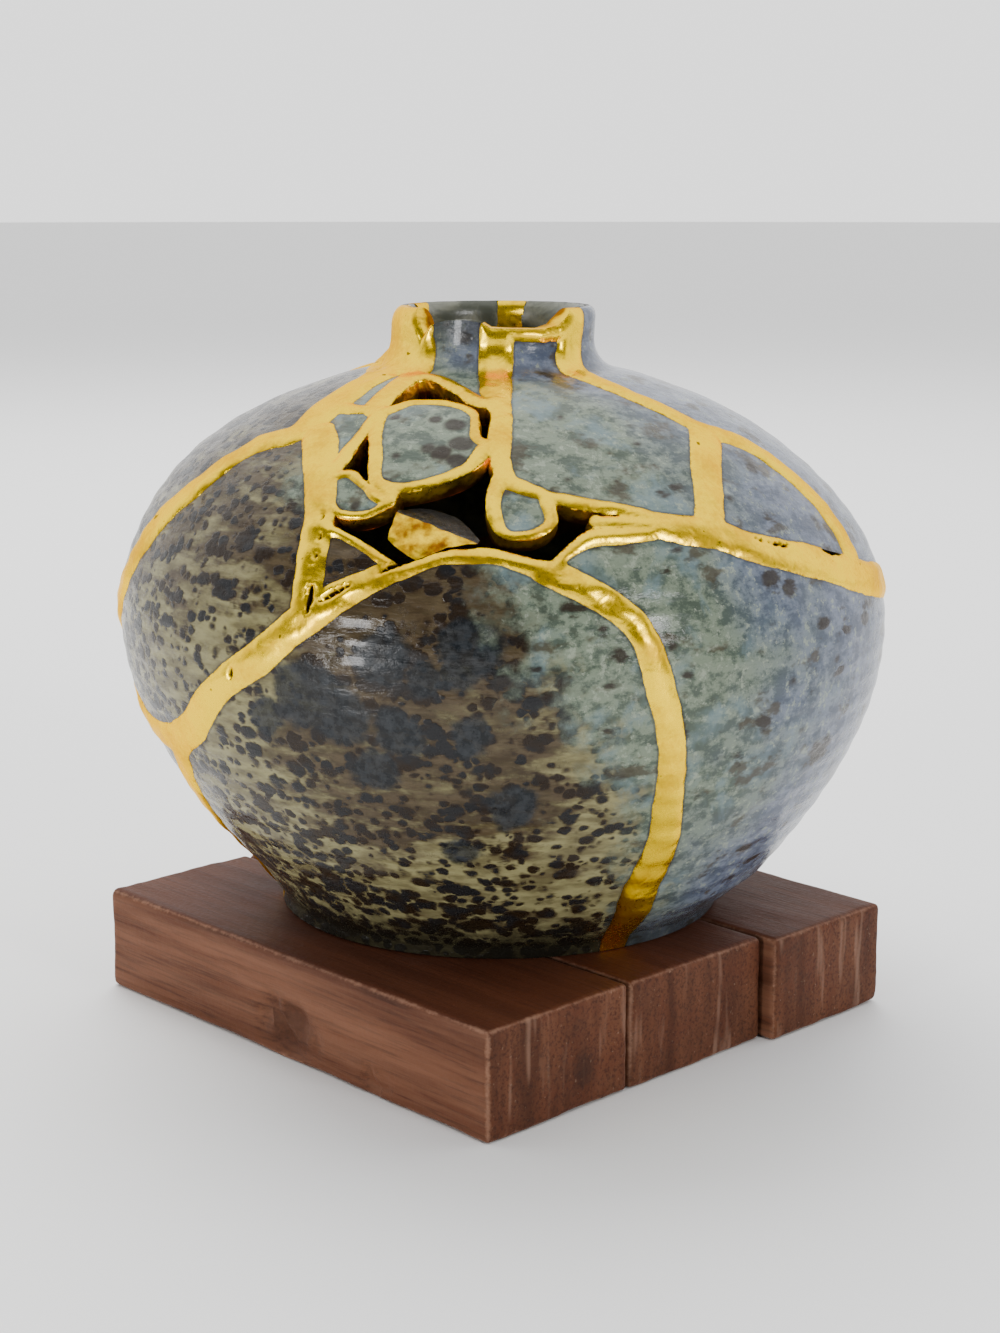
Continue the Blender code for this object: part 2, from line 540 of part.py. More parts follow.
def add_object(name, points, faces, finish):
    """An object from points and faces, its faces turned outwards."""
    mesh = bpy.data.meshes.new(name)
    form = bmesh.new()
    vertices = [form.verts.new(p) for p in points]
    for face in faces:
        form.faces.new([vertices[k] for k in face])
    loose = [v for v in form.verts if not v.link_faces]
    bmesh.ops.delete(form, geom=loose, context="VERTS")
    bmesh.ops.recalc_face_normals(form, faces=form.faces)
    form.to_mesh(mesh)
    form.free()
    made = bpy.data.objects.new(name, mesh)
    bpy.context.scene.collection.objects.link(made)
    mesh.materials.append(finish)
    mesh.shade_smooth()
    mesh.set_sharp_from_angle(angle=SHARP_ANGLE)
    return made


def outline(wall, loop):
    """An outline with only the points that it needs, outside and inside the wall."""
    angle, reach = loop.T
    both = np.concatenate((wall.outside(angle, reach), wall.inside(angle, reach)), axis=1)
    return loop[simplify(both, OUTLINE_TOLERANCE)]


def clear_of(wall, points, loops, core=0.0):
    """Those points that keep off the outlines: less where points lie close, or a fixed core distance."""
    if not len(points):
        return points
    places = wall.outside(points[:, 0], points[:, 1])
    radius = np.interp(points[:, 1], wall.reach, wall.radius)
    room = KEEP_OFF * np.minimum(SURFACE_STEP, 2 * math.pi * radius / AROUND_STEPS)
    nearest = np.full(len(points), np.inf)
    for loop in loops:
        corners = wall.outside(loop[:, 0], loop[:, 1])
        for start, end in zip(corners, np.roll(corners, -1, axis=0)):
            step = end - start
            t = np.clip((places - start) @ step / max(step @ step, 1e-18), 0, 1)
            gap = np.linalg.norm(places - start - t[:, None] * step, axis=1)
            nearest = np.minimum(nearest, gap)
    return points[nearest > (core or room)]


def build_sherds(wall, field, glazes):
    lip = wall.lip(field.angle)[None, :] - field.reach[:, None]
    loops = field.loops(np.minimum(field.value - PIECE_GAP / 2, lip))
    flats = [wall.to_plane(loop[:, 0], loop[:, 1]) for loop in loops]
    spread = spread_points(wall)
    spread_flat = wall.to_plane(spread[:, 0], spread[:, 1])
    for name, (angle, height) in SHERDS.items():
        seed = wall.to_plane(math.radians(angle), wall.at_height(height))[None]
        around = [k for k, flat in enumerate(flats) if inside_loops(seed, [flat])[0]]
        smallest = min(around, key=lambda k: abs(ring_area(flats[k])))
        loop = outline(wall, loops[smallest])
        ring = wall.to_plane(loop[:, 0], loop[:, 1])
        inner = clear_of(wall, spread[inside_loops(spread_flat, [ring])], [loop])
        points, faces = plate(wall, [loop], inner, lambda a, r: 0 * r)
        finish = glazes["blue"] if name in BLUE_SHERDS else glazes["olive"]
        add_object(name, points, faces, finish)


def ring_area(flat):
    after = np.roll(flat, -1, axis=0)
    return float(np.sum(flat[:, 0] * after[:, 1] - after[:, 0] * flat[:, 1]) / 2)


def build_gold(wall, field, gold):
    lip = wall.lip(field.angle)[None, :] - field.reach[:, None]
    loops = [outline(wall, loop) for loop in field.loops(np.minimum(-field.value - PIECE_GAP / 2, lip))]
    places = []
    for flat, _ in field.lines:
        angle, reach = wall.from_plane(flat)
        points = wall.outside(angle, reach)
        walked = np.concatenate(([0], np.cumsum(np.linalg.norm(np.diff(points, axis=0), axis=1))))
        marks = np.arange(GOLD_STEP / 2, walked[-1], GOLD_STEP)
        turned = np.interp(marks, walked, np.unwrap(angle))
        places.append(np.stack((turned, np.interp(marks, walked, reach)), -1))
    places = np.concatenate(places)
    deep = field.sample(places[:, 0], places[:, 1]) < -GOLD_CORE
    places = places[deep & (places[:, 1] < wall.lip((places[:, 0] + math.pi) % (2 * math.pi) - math.pi))]
    kept = []
    for place, point in zip(places, wall.outside(places[:, 0], places[:, 1])):
        if all(np.linalg.norm(point - other) > KEEP_OFF * GOLD_STEP for _, other in kept):
            kept.append((place, point))
    inner = clear_of(wall, np.array([place for place, _ in kept]), loops, GOLD_CORE)

    def lift(angle, reach):
        rise = smooth_step(-field.sample(angle, reach), 0, GOLD_RAMP)
        height = np.interp(reach, wall.reach, wall.height)
        fade = smooth_step(height, 0, FOOT_BAND) * smooth_step(wall.top - reach, 0, 2 * LIP_HEIGHT)
        return (GOLD_EDGE + (GOLD_CROWN - GOLD_EDGE) * rise) * fade

    points, faces = plate(wall, loops, inner, lift)
    add_object("gold_seams", points, faces, gold)


def build_tipped_sherd(wall, glazes):
    """A half lens of wall that tipped inwards and shows its broken edge."""
    def edge(stations):
        table = np.array(stations)
        reach = wall.at_height(table[:, 1])
        corners = wall.outside(np.radians(table[:, 0]), reach, -TIPPED_INSET)
        marks = np.linspace(0, len(corners) - 1, TIPPED_STEPS + 1)
        return np.stack([np.interp(marks, np.arange(len(corners)), corners[:, k]) for k in range(3)], -1)

    top, foot = edge(TIPPED_TOP), edge(TIPPED_FOOT)
    middle = top.mean(axis=0)
    inwards = np.array((VASE_CENTRE[0] - middle[0], VASE_CENTRE[1] - middle[1], 0.0))
    inwards /= np.linalg.norm(inwards)
    bow = np.sin(np.linspace(0, math.pi, TIPPED_STEPS + 1))
    depth = TIPPED_ENDS + (TIPPED_DEPTH - TIPPED_ENDS) * bow
    back = depth[:, None] * (inwards + (0, 0, TIPPED_SLOPE))
    points = np.stack((top, foot, foot + back, top + back), axis=1).reshape(-1, 3)
    last = 4 * TIPPED_STEPS
    faces = [(0, 1, 2, 3), (last + 3, last + 2, last + 1, last)]
    for station in range(0, last, 4):
        for k in range(4):
            after = (k + 1) % 4
            a, b, c, d = station + k, station + k + 4, station + after + 4, station + after
            faces += [(a, b, c), (a, c, d)]
    add_object("sherd_tipped", points, faces, glazes["olive"])


def build_board(name, near, width, shift, wood):
    """A board lying along X, its long and short edges rounded."""
    low = (-BOARD_LENGTH / 2 + shift, near, 0.0)
    high = (BOARD_LENGTH / 2 + shift, near + width, BOARD_HEIGHT)
    points = [(x, y, z) for x in (low[0], high[0]) for y in (low[1], high[1]) for z in (low[2], high[2])]
    faces = [(0, 1, 3, 2), (4, 6, 7, 5), (0, 4, 5, 1), (2, 3, 7, 6), (0, 2, 6, 4), (1, 5, 7, 3)]
    made = add_object(name, points, faces, wood)
    bevel = made.modifiers.new("rounding", "BEVEL")
    bevel.width = BOARD_ROUNDING
    bevel.segments = ROUNDING_STEPS
    return made


def build_stand(wood):
    total = FRONT_BOARD_WIDTH + MIDDLE_BOARD_WIDTH + BACK_BOARD_WIDTH + 2 * PIECE_GAP
    near = -total / 2
    for name, width, shift in (("board_front", FRONT_BOARD_WIDTH, 0.0),
                               ("board_middle", MIDDLE_BOARD_WIDTH, 0.0),
                               ("board_back", BACK_BOARD_WIDTH, BACK_BOARD_SHIFT)):
        build_board(name, near, width, shift, wood)
        near += width + PIECE_GAP


def main():
    for old in list(bpy.data.objects):
        bpy.data.objects.remove(old, do_unlink=True)
    wood = material("reddish brown wood", (0.16, 0.060, 0.035), 0.6)
    gold = material("polished gold", (0.83, 0.56, 0.20), 0.22, 1.0)
    glazes = {"olive": material("olive glaze", (0.20, 0.19, 0.09), 0.25),
              "blue": material("blue-grey glaze", (0.17, 0.23, 0.24), 0.25)}
    wall = Wall()
    field = Field(wall)
    build_stand(wood)
    build_sherds(wall, field, glazes)
    build_gold(wall, field, gold)
    build_tipped_sherd(wall, glazes)


main()
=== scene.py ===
"""Looks of a broken and mended stoneware vase on a stand of three boards.

The wall of the pot is gone over again with a fine grid. The gold lines are the
same as in the solids, with ragged edges, waves and pits added, and each sherd
gets its glaze with throwing rings. Sizes are in millimetres until a mesh is made.
"""
import functools
import itertools
import math

import bmesh
import bpy
import numpy as np
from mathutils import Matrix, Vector


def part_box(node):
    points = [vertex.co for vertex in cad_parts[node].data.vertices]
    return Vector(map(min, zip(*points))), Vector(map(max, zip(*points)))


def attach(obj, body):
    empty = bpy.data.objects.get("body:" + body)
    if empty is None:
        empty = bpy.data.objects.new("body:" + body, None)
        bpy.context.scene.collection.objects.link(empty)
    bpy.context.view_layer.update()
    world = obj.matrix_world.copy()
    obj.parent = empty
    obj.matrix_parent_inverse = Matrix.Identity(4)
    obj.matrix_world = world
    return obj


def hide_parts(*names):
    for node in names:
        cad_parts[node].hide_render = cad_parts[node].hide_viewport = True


bl_info = {
    "name": "Mended Vase Looks",
    "version": (1, 0, 0),
    "blender": (4, 5, 0),
    "location": "View3D > Sidebar > Mended Vase",
    "description": "Glaze, gold seams, stand and studio for a mended stoneware vase",
    "category": "Object",
}

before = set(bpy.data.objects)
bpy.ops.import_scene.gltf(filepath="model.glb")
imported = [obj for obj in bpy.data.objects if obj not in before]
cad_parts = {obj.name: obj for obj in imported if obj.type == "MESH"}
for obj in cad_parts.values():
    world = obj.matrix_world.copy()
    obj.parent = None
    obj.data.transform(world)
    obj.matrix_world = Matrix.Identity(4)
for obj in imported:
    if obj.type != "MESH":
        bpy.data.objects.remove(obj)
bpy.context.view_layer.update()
MM = 0.001

# Sizes of the turned form, as the solids have them
VASE_HEIGHT = 146.5
FOOT_RADIUS = 54.8
FOOT_BAND = 3.0
FOOT_FLARE = 0.6
BELLY_RADIUS = 93.4
BELLY_HEIGHT = 73.0
BELLY_FULLNESS = 0.94
SHOULDER_RISE = 61.8
NECK_RADIUS = 24.2
NECK_FILLET = 8.0
LIP_HEIGHT = 2.8
LIP_EDGE = 1.2
WALL = 4.5
FLOOR_THICKNESS = 6.0
FLOOR_CURVE_START = 14.0
FLOOR_CURVE_END = 8.0
PIECE_GAP = 0.3
FOOT_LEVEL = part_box("board_front")[1].z / MM + PIECE_GAP
VASE_CENTRE = (-1.3, 5.0)
SWAY_DIRECTION = math.radians(46.0)

# How the axis wanders sideways: hundredths of the height, millimetres aside
SWAY = ((0, 0.6), (8.2, 3.9), (26.6, 2.6), (46.4, 1.7), (63.5, 0.6), (76.5, -1.5), (86.7, -1.5), (100, -0.3))

# Chipped front of the lip: angle in degrees and what is left of the height, in hundredths
LIP_CHIP = ((-97, 100), (-91.5, 98), (-87, 95.9), (-82, 97.5), (-72, 98.3), (-60, 98.4),
            (-51, 98), (-46, 97.2), (-16, 96.9), (-6, 97.5), (0, 98.7), (5, 100))

# Gold lines: angle in degrees, height in hundredths, width in hundredths of the belly's radius.
# A height below zero is on the underside, in hundredths of the foot's radius inwards from its edge.
SEAMS = {
    "left_of_neck": ((-113, 100.3, 19.3), (-107, 96.9, 24.6), (-104, 94.9, 21.4), (-95.5, 92.8, 17.7),
        (-86, 91.3, 10.7), (-80.5, 89.8, 8), (-78, 88.4, 7), (-76, 86, 7), (-72.5, 85, 5.4)),
    "neck_to_shoulder": ((-104, 94.2, 12.8), (-99.5, 91, 11.2), (-96, 88.9, 10.7), (-92.5, 86.7, 12.3),
        (-89.5, 84, 11.6), (-90, 81.9, 10.2), (-93, 81, 8.6), (-97.5, 79.9, 8.6)),
    "round_the_belly": ((-97.5, 79.9, 8.6), (-101, 77, 9.1), (-104.5, 73, 9.6), (-109.5, 68.3, 10.2),
        (-113.5, 63.5, 10.2), (-118, 58, 10.2), (-124, 52.6, 9.6), (-132, 47.8, 9.1),
        (-143, 44.4, 8.6), (-170, 41, 8.6), (-202, 46.4, 8.6), (-238, 56.7, 8), (-255, 58.7, 8),
        (-272, 56, 8), (-288, 52.6, 8.6), (-305, 52.6, 8.6), (-320, 55.3, 9.6), (-333, 57.8, 9.6),
        (-348.1, 62.3, 9.6), (-355.8, 64.4, 9.2), (-364.4, 67, 8.6), (-368.5, 68.8, 8.8),
        (-372.6, 69.6, 9), (-378, 70.7, 8)),
    "left_edge": ((-84, 82.3, 8.6), (-79.6, 80.5, 9.6), (-74.8, 76.8, 8.5), (-72.1, 72.8, 7.7),
        (-71.4, 68.7, 7.9), (-71.2, 65.3, 7.9), (-71, 60.1, 7.9)),
    "falling_left": ((-66.7, 61, 7.9), (-70, 58.6, 8.6), (-73.5, 55.7, 8.5), (-77.2, 52.3, 8.6),
        (-81.8, 48.9, 7.8), (-85.4, 46.3, 7.5), (-89.1, 43, 8.6), (-94.2, 38.2, 8.8),
        (-101, 34.5, 9.1), (-105, 30, 9.1), (-109, 24.6, 8.6), (-114, 17.7, 8), (-121, 9.6, 7.5),
        (-127, 2, 7), (-128, -2, 6.4), (-122, -26, 6.4), (-105, -46, 6.4), (-77, -53, 6.4),
        (-45, -46, 6.4), (-24, -31, 6.4), (-15, -2, 7.5)),
    "left_branch": ((-101, 34.5, 9.1), (-110, 33.4, 8.6), (-122, 34.8, 8.6), (-134, 38.9, 8.6),
        (-143, 44.4, 8.6)),
    "arch": ((-66.7, 61, 7.9), (-63.5, 62.9, 7), (-59.5, 64.7, 5.6), (-56.2, 65.3, 3.2),
        (-51.7, 67, 3.3), (-46, 67.4, 4.2), (-42, 66.8, 4.1), (-37.6, 65.3, 4.8), (-35.2, 64.5, 7)),
    "falling_right": ((-38, 65.4, 5.4), (-35.2, 64.5, 7.2), (-30.3, 61.7, 7.2), (-26.1, 58, 6.9),
        (-24.3, 53.7, 7.1), (-23.2, 48.2, 7.4), (-21.9, 43.1, 7.2), (-20.7, 36.2, 7.3),
        (-20.4, 31, 7.7), (-19.4, 24.7, 8.6), (-19.2, 19.4, 9.6), (-19.8, 14.4, 10.3),
        (-19, 8.9, 10.3), (-16, 2.7, 8.6), (-15, -2, 7.5)),
    "slot_top": ((-41, 77.1, 4.9), (-34.8, 75.2, 3.6), (-30.2, 74.2, 4.4), (-26.3, 73.5, 4),
        (-23.1, 73, 3.4), (-18, 71.3, 5.4)),
    "slot_foot": ((-35.5, 65.7, 4.3), (-34.6, 67, 3), (-32.2, 68.4, 3.3), (-29.1, 69.5, 4.9),
        (-24.8, 69.6, 4.5), (-18, 70, 4.3)),
    "slot_web": ((-28, 71.6, 3.6), (-24, 71.4, 3.6), (-18, 70.7, 5.4)),
    "right_shoulder": ((5, 100.3, 9.6), (5, 96.2, 9.6), (2.5, 93.2, 9.1), (-0.7, 90.5, 9.1),
        (1.6, 87.4, 7.5), (6.2, 84.4, 7.3), (9.5, 82, 8), (14, 80.8, 8), (18, 79.2, 8.4),
        (21, 76.1, 8.6), (22.3, 71.7, 8.6), (22.2, 67.2, 8.6), (21.5, 63.5, 9.1), (20, 60.1, 9.6)),
    "shoulder_bridge": ((9.5, 81.9, 8.6), (6.7, 81, 8.9), (1, 78.7, 8.6), (-3.2, 76, 8.6),
        (-8, 71.6, 7.9), (-9.5, 69.3, 8.6)),
    "front_of_neck": ((-42.7, 100.3, 8.8), (-42.7, 96.9, 8.8), (-42.3, 92.6, 8.8), (-42.3, 88.1, 8.1),
        (-41.1, 85.5, 5.1), (-41.8, 82.6, 5.9), (-41.8, 79.9, 4.9), (-41, 77.1, 5.1)),
    "lip": ((-41, 96.6, 3.9), (-30, 96.2, 3.4), (-17, 96, 3.9), (-6, 96.4, 5.4), (3, 96.9, 8.6)),
    "neck_sill": ((-78, 89.1, 5.4), (-73.1, 89.6, 4.3), (-65.2, 89.4, 3.9), (-58.8, 88.8, 4.1),
        (-51.4, 87.7, 4.1), (-46.3, 86.8, 5.4), (-42, 87, 5.4)),
    "round_top": ((-72.5, 85, 4.8), (-70.2, 85.6, 3.9), (-65.9, 86.6, 3), (-57.1, 86.7, 2.6),
        (-51.1, 86.2, 2.6), (-48, 85.3, 2.4), (-47.3, 83.7, 2.4), (-46.4, 82.3, 3), (-42, 81.4, 4.3)),
    "round_left": ((-72.5, 85, 4.8), (-68.9, 82.3, 3.6), (-66.2, 79.9, 3.4), (-63.8, 76.8, 3.6),
        (-60.4, 75.1, 3.6)),
    "round_foot": ((-63.5, 76.5, 3.4), (-60.4, 76, 3.4), (-56.3, 76.4, 3), (-51.6, 77.5, 3),
        (-47.6, 79, 3.4), (-44.6, 81.1, 4.7)),
    "leaf_foot": ((-92, 85.7, 7.5), (-83, 85.3, 5.4), (-76, 85.5, 4.8)),
    "beside_triangle": ((-73, 84.6, 3.6), (-72.6, 82.6, 3.4), (-72.5, 80.9, 3.9), (-73, 78.5, 4.9),
        (-74, 76.5, 5.4)),
    "light_chip_top": ((-72.5, 76.9, 3.2), (-69.2, 77.4, 2.6), (-65.2, 75.9, 2.6), (-62.6, 74.5, 2.8),
        (-60.4, 74.3, 3.2)),
    "light_chip_foot": ((-71.5, 73.7, 4.3), (-69.6, 72.8, 2.4), (-67.8, 72.3, 2.1), (-65, 72.3, 2.1),
        (-62.4, 73, 2.1), (-60.4, 74.3, 3.2)),
    "dark_chip_top": ((-71.5, 70.4, 4.3), (-67.3, 69.6, 2.1), (-63.4, 68.2, 2.1), (-60.6, 66.8, 2.6),
        (-58.8, 65.5, 3.4)),
    "grey_chip": ((-41.8, 77.5, 4.3), (-43.3, 75.1, 3.6), (-43.5, 72.4, 3.4), (-42.4, 70.4, 2.8),
        (-39.5, 70, 2.4), (-37, 70.6, 2.8), (-35, 71.9, 3.2), (-34.9, 73.7, 3.4), (-35, 75.1, 3.6)),
    "collar": ((-96, 88.4, 8.6), (-103, 89.3, 5.6), (-112, 89.8, 4.9), (-126, 90.4, 5.1),
        (-142, 91.8, 5.9), (-154, 94.9, 6.4), (-162, 100.3, 6.4)),
    "back_of_neck": ((125, 100.3, 8.6), (125, 96.2, 8.6), (124, 91.5, 8), (121, 86, 8), (114, 77.8, 8),
        (107, 68.3, 8), (105, 58.7, 8)),
    "back_rise": ((172, 42.3, 8.6), (169, 53.2, 8), (172, 65.5, 8), (179, 76.5, 7.5), (190, 84.6, 7),
        (203, 93.5, 6.4)),
    "back_fall": ((74, 52.6, 8.6), (76, 42.3, 8), (80, 30.7, 8), (84, 19.1, 8), (86, 6.8, 7.5),
        (86, -2, 6.4), (87, -55, 6.4), (95, -93, 6.4), (272, -82, 6.4), (283, -53, 6.4)),
    "back_foot": ((160, 44.4, 8.6), (163, 35.5, 8), (171, 24.6, 8), (182, 13.7, 8), (190, 4.1, 7.5),
        (193, -2, 6.4), (200, -29, 6.4), (222, -46, 6.4), (247, -38, 6.4)),
}

# Sherds that are there: a point on each, angle in degrees and height in hundredths
SHERDS = {
    "sherd_belly_front": (-60, 34.1),
    "sherd_belly_right": (20, 41),
    "sherd_belly_back": (130, 27.3),
    "sherd_belly_back_left": (215, 20.5),
    "sherd_left": (-95, 61.4),
    "sherd_shoulder_front": (-20, 83.3),
    "sherd_shoulder_right": (8, 73.7),
    "sherd_shoulder_back_right": (60, 75.1),
    "sherd_shoulder_back": (145, 68.3),
    "sherd_shoulder_back_left": (230, 75.1),
    "sherd_neck_front": (-60, 93.5),
    "sherd_neck_left": (-140, 96.2),
    "sherd_round": (-58, 81.9),
    "sherd_leaf": (-86, 88.4),
    "sherd_triangle": (-78, 83.1),
    "sherd_chip_light": (-66, 74.1),
    "sherd_chip_dark": (-65.5, 66.6),
    "sherd_chip_grey": (-39.5, 73),
}
OLIVE_SHERDS = ("sherd_belly_front", "sherd_belly_back", "sherd_belly_back_left", "sherd_left",
                "sherd_shoulder_back", "sherd_shoulder_back_left", "sherd_chip_dark")

# Pits and slits left in the gold, given like the gold lines
SLITS = (
    ((-70.3, 62.3, 1.0), (-70.4, 60.4, 1.5), (-70.4, 59, 0.7)),
    ((-68.6, 60.7, 0.5), (-67, 61.6, 1.2), (-64.4, 63.1, 0.6)),
    ((-60.4, 64.9, 0.5), (-58.9, 65.7, 1.2), (-57.3, 66.2, 0.5)),
    ((-2.6, 67.6, 0.4), (-1.3, 67.3, 0.7)),
    ((-0.1, 66.8, 0.4), (2.2, 66.3, 0.9), (3.9, 65.9, 0.4)),
    ((12.2, 64.6, 0.5), (14.4, 63.9, 1.6), (17.2, 63.3, 0.6)),
    ((-83, 49.2, 0.9), (-83.1, 48.2, 1.1)),
    ((-71.1, 72, 0.5), (-70.9, 71.4, 0.5)),
    ((-70.6, 69.5, 0.5), (-70.5, 68.8, 0.6)),
    ((-70.4, 66.8, 0.4), (-70.4, 66.2, 0.4)),
)
SLIT_DEPTH = 1.3
SLIT_REACH = 2.0

# Relief, in millimetres: throwing rings, and the gold's sunk edge, then two rises, each with its width
RING_PITCH = 5.6
RING_HEIGHT = 0.14
RING_WANDER = 1.6
GLAZE_UNDER_GOLD = 0.35
GOLD_SUNK = 0.06
GOLD_EDGE = (0.38, 0.45)
GOLD_CROWN = (0.42, 2.6)

# Large slate-coloured blotches in the glaze: angle in degrees, height in hundredths, radius in millimetres
BLOTCHES = ((-71, 46.8, 8), (-66, 44, 7), (-59.5, 53.4, 6.5), (-54, 50.5, 4.5), (-48, 55, 7),
            (-50, 51.5, 4), (-43, 30.5, 6), (-51.7, 22.3, 4), (-62, 36, 5), (-78, 43, 4.5),
            (-58, 42.5, 5.5), (-48.5, 42, 4.5))

# Brown freckles on the pale round sherd and beside it, given like the blotches
FRECKLES = ((-52, 84, 2.6), (-49.6, 81.8, 3.0), (-53.5, 80.6, 2.4), (-56, 81, 1.8), (-50, 79.6, 2.4),
            (-57, 84.6, 1.6), (-62, 80, 1.2), (-66, 73.4, 1.2), (-46.5, 88.6, 1.5))

# Sherd that tipped inwards: the top and foot of its broken edge, its depth behind them
TIPPED_TOP = ((-59.2, 73.4), (-46.3, 69.4))
TIPPED_FOOT = ((-60, 69.6), (-55.6, 67), (-50.4, 68.8))
TIPPED_DEPTH = 11.0
TIPPED_ENDS = 2.5
TIPPED_INSET = 1.0
TIPPED_SLOPE = 0.12
TIPPED_STATIONS = 40
TIPPED_ROUND = 6

# Fineness of the grid over the wall
PROFILE_STEP = 0.4
FRONT_MIDDLE = math.radians(-44)
FRONT_COLUMNS = 402
BACK_COLUMNS = 240
FLOOR_STEP = 2.6
LOW_STEP = 1.0
HIGH_STEP = 0.68
HIGH_FROM = 58.0
FIELD_REACH = 5.0
CURVE_STEPS = 6
CUT_MARGIN = 0.05
OUTSIDE = -0.5
INSIDE_EVERY = 3
SHARP_ANGLE = math.radians(50)
SEED = 11

# Boards
BOARDS = ("board_front", "board_middle", "board_back")
BOARD_PITCH = 1.6
BOARD_EDGE_STEPS = (0.0, 0.25, 0.6, 1.1, 1.8, 2.6)
BOARD_EDGE_RADIUS = 1.5

# Knots of the front board: place along the side or end and height, on the side also size and roughness
KNOT = (2.0, 8.0)
SIDE_KNOTS = ((KNOT, 9.5, 2.1), ((33.0, 3.5), 4.5, 1.5))
END_KNOT = (-36.0, 9.0)

# Fixed colours: gold, glaze, inside and breaks, wood
# The dark amber on the next line is painted shade for gold deep in the gaps and inside the pot.
GAP_SHADE_AMBER = (0.26, 0.095, 0.004)
WORN_EDGE = (0.12, 0.055, 0.012)
PIT = (0.02, 0.01, 0.004)
SLATE = ((0.006, 0.008, 0.010), (0.028, 0.032, 0.036))
OLIVE_FOOT = (0.010, 0.009, 0.006)
VEIL = (0.145, 0.21, 0.225)
CRUST = (0.30, 0.34, 0.26)
FRECKLE = (0.022, 0.015, 0.010)
LIP_SHADE = (0.028, 0.030, 0.032)
COOL_FOOT = (0.035, 0.04, 0.032)
SEAM_LINE = (0.018, 0.012, 0.008)
INSIDE = ((0.075, 0.082, 0.06), (0.21, 0.215, 0.165))
BROKEN = ((0.012, 0.012, 0.012), (0.055, 0.052, 0.048))
FIBRE = (0.026, 0.009, 0.005)
DARK_TOP_FACE = (0.085, 0.024, 0.011)
END_BAND = (0.27, 0.155, 0.105)
END_SPECK = (0.32, 0.22, 0.16)
SIDE_GRAIN = (0.30, 0.14, 0.08)
WORN_WOOD = (0.36, 0.2, 0.13)
KNOT_HEART = (0.035, 0.014, 0.009)
TORN_GRAIN = (0.045, 0.017, 0.010)

# Oil spots: distance between them in millimetres, and how far they reach beyond the usual
SPOT_LAYERS = ((8.6, 0.03), (5.2, 0.14), (3.1, 0.2))
FRECKLE_SPACING = 8.5

# Camera, at the angle of the photograph: millimetres, and degrees made radians
AIM = (2.35, 2.45, 84.4)
CAMERA_DISTANCE = 559.4
CAMERA_AZIMUTH = math.radians(46.156)
CAMERA_ELEVATION = math.radians(11.914)
LENS = 61.08
SENSOR = 36.0

# Softboxes: azimuth and elevation in degrees, distance and size in metres, power, whether gloss shows it
SOFTBOXES = {
    "left_window": (-86, 6, 1.5, (0.2, 0.3), 11, True),
    "right_window": (0, 17, 1.5, (0.2, 0.3), 9, True),
    "high_back_left": (152, 55, 1.7, (1.3, 1.3), 34, False),
}

# The duller part of the studio tent: directions, and where along each it starts and is full
DULL_BAND = (((math.sin(CAMERA_AZIMUTH), -math.cos(CAMERA_AZIMUTH), 0), -0.25, 0.3),
             ((0, 0, 1), 0.94, 0.7), ((0, 0, 1), -0.3, -0.05))


def smooth_step(value, low, high):
    t = np.clip((value - low) / (high - low), 0, 1)
    return t * t * (3 - 2 * t)


def wrapped(angle):
    """The same angle between half a turn back and half a turn on."""
    return (angle + math.pi) % (2 * math.pi) - math.pi


def widened(mask):
    """Marked places of a grid and their neighbours; the columns go round."""
    wider = mask.copy()
    wider[1:] |= mask[:-1]
    wider[:-1] |= mask[1:]
    return wider | np.roll(wider, 1, axis=1) | np.roll(wider, -1, axis=1)


def arc_points(centre, radii, start, end):
    """Points of an elliptical arc at about PROFILE_STEP."""
    count = max(3, int(abs(end - start) * max(radii) / PROFILE_STEP))
    angles = np.linspace(start, end, count)
    return [(centre[0] + radii[0] * math.cos(a), centre[1] + radii[1] * math.sin(a)) for a in angles]


def neck_tangent():
    """Start of the fillet to the neck: angle on the shoulder's ellipse, normal, and the fillet's centre."""
    low, high = 0.2, math.pi / 2
    for _ in range(60):
        angle = (low + high) / 2
        normal = np.array((math.cos(angle) / BELLY_RADIUS, math.sin(angle) / SHOULDER_RISE))
        normal /= np.linalg.norm(normal)
        if BELLY_RADIUS * math.cos(angle) + NECK_FILLET * normal[0] > NECK_RADIUS + NECK_FILLET:
            low = angle
        else:
            high = angle
    height = BELLY_HEIGHT + SHOULDER_RISE * math.sin(angle) + NECK_FILLET * normal[1]
    return angle, normal, (NECK_RADIUS + NECK_FILLET, height)


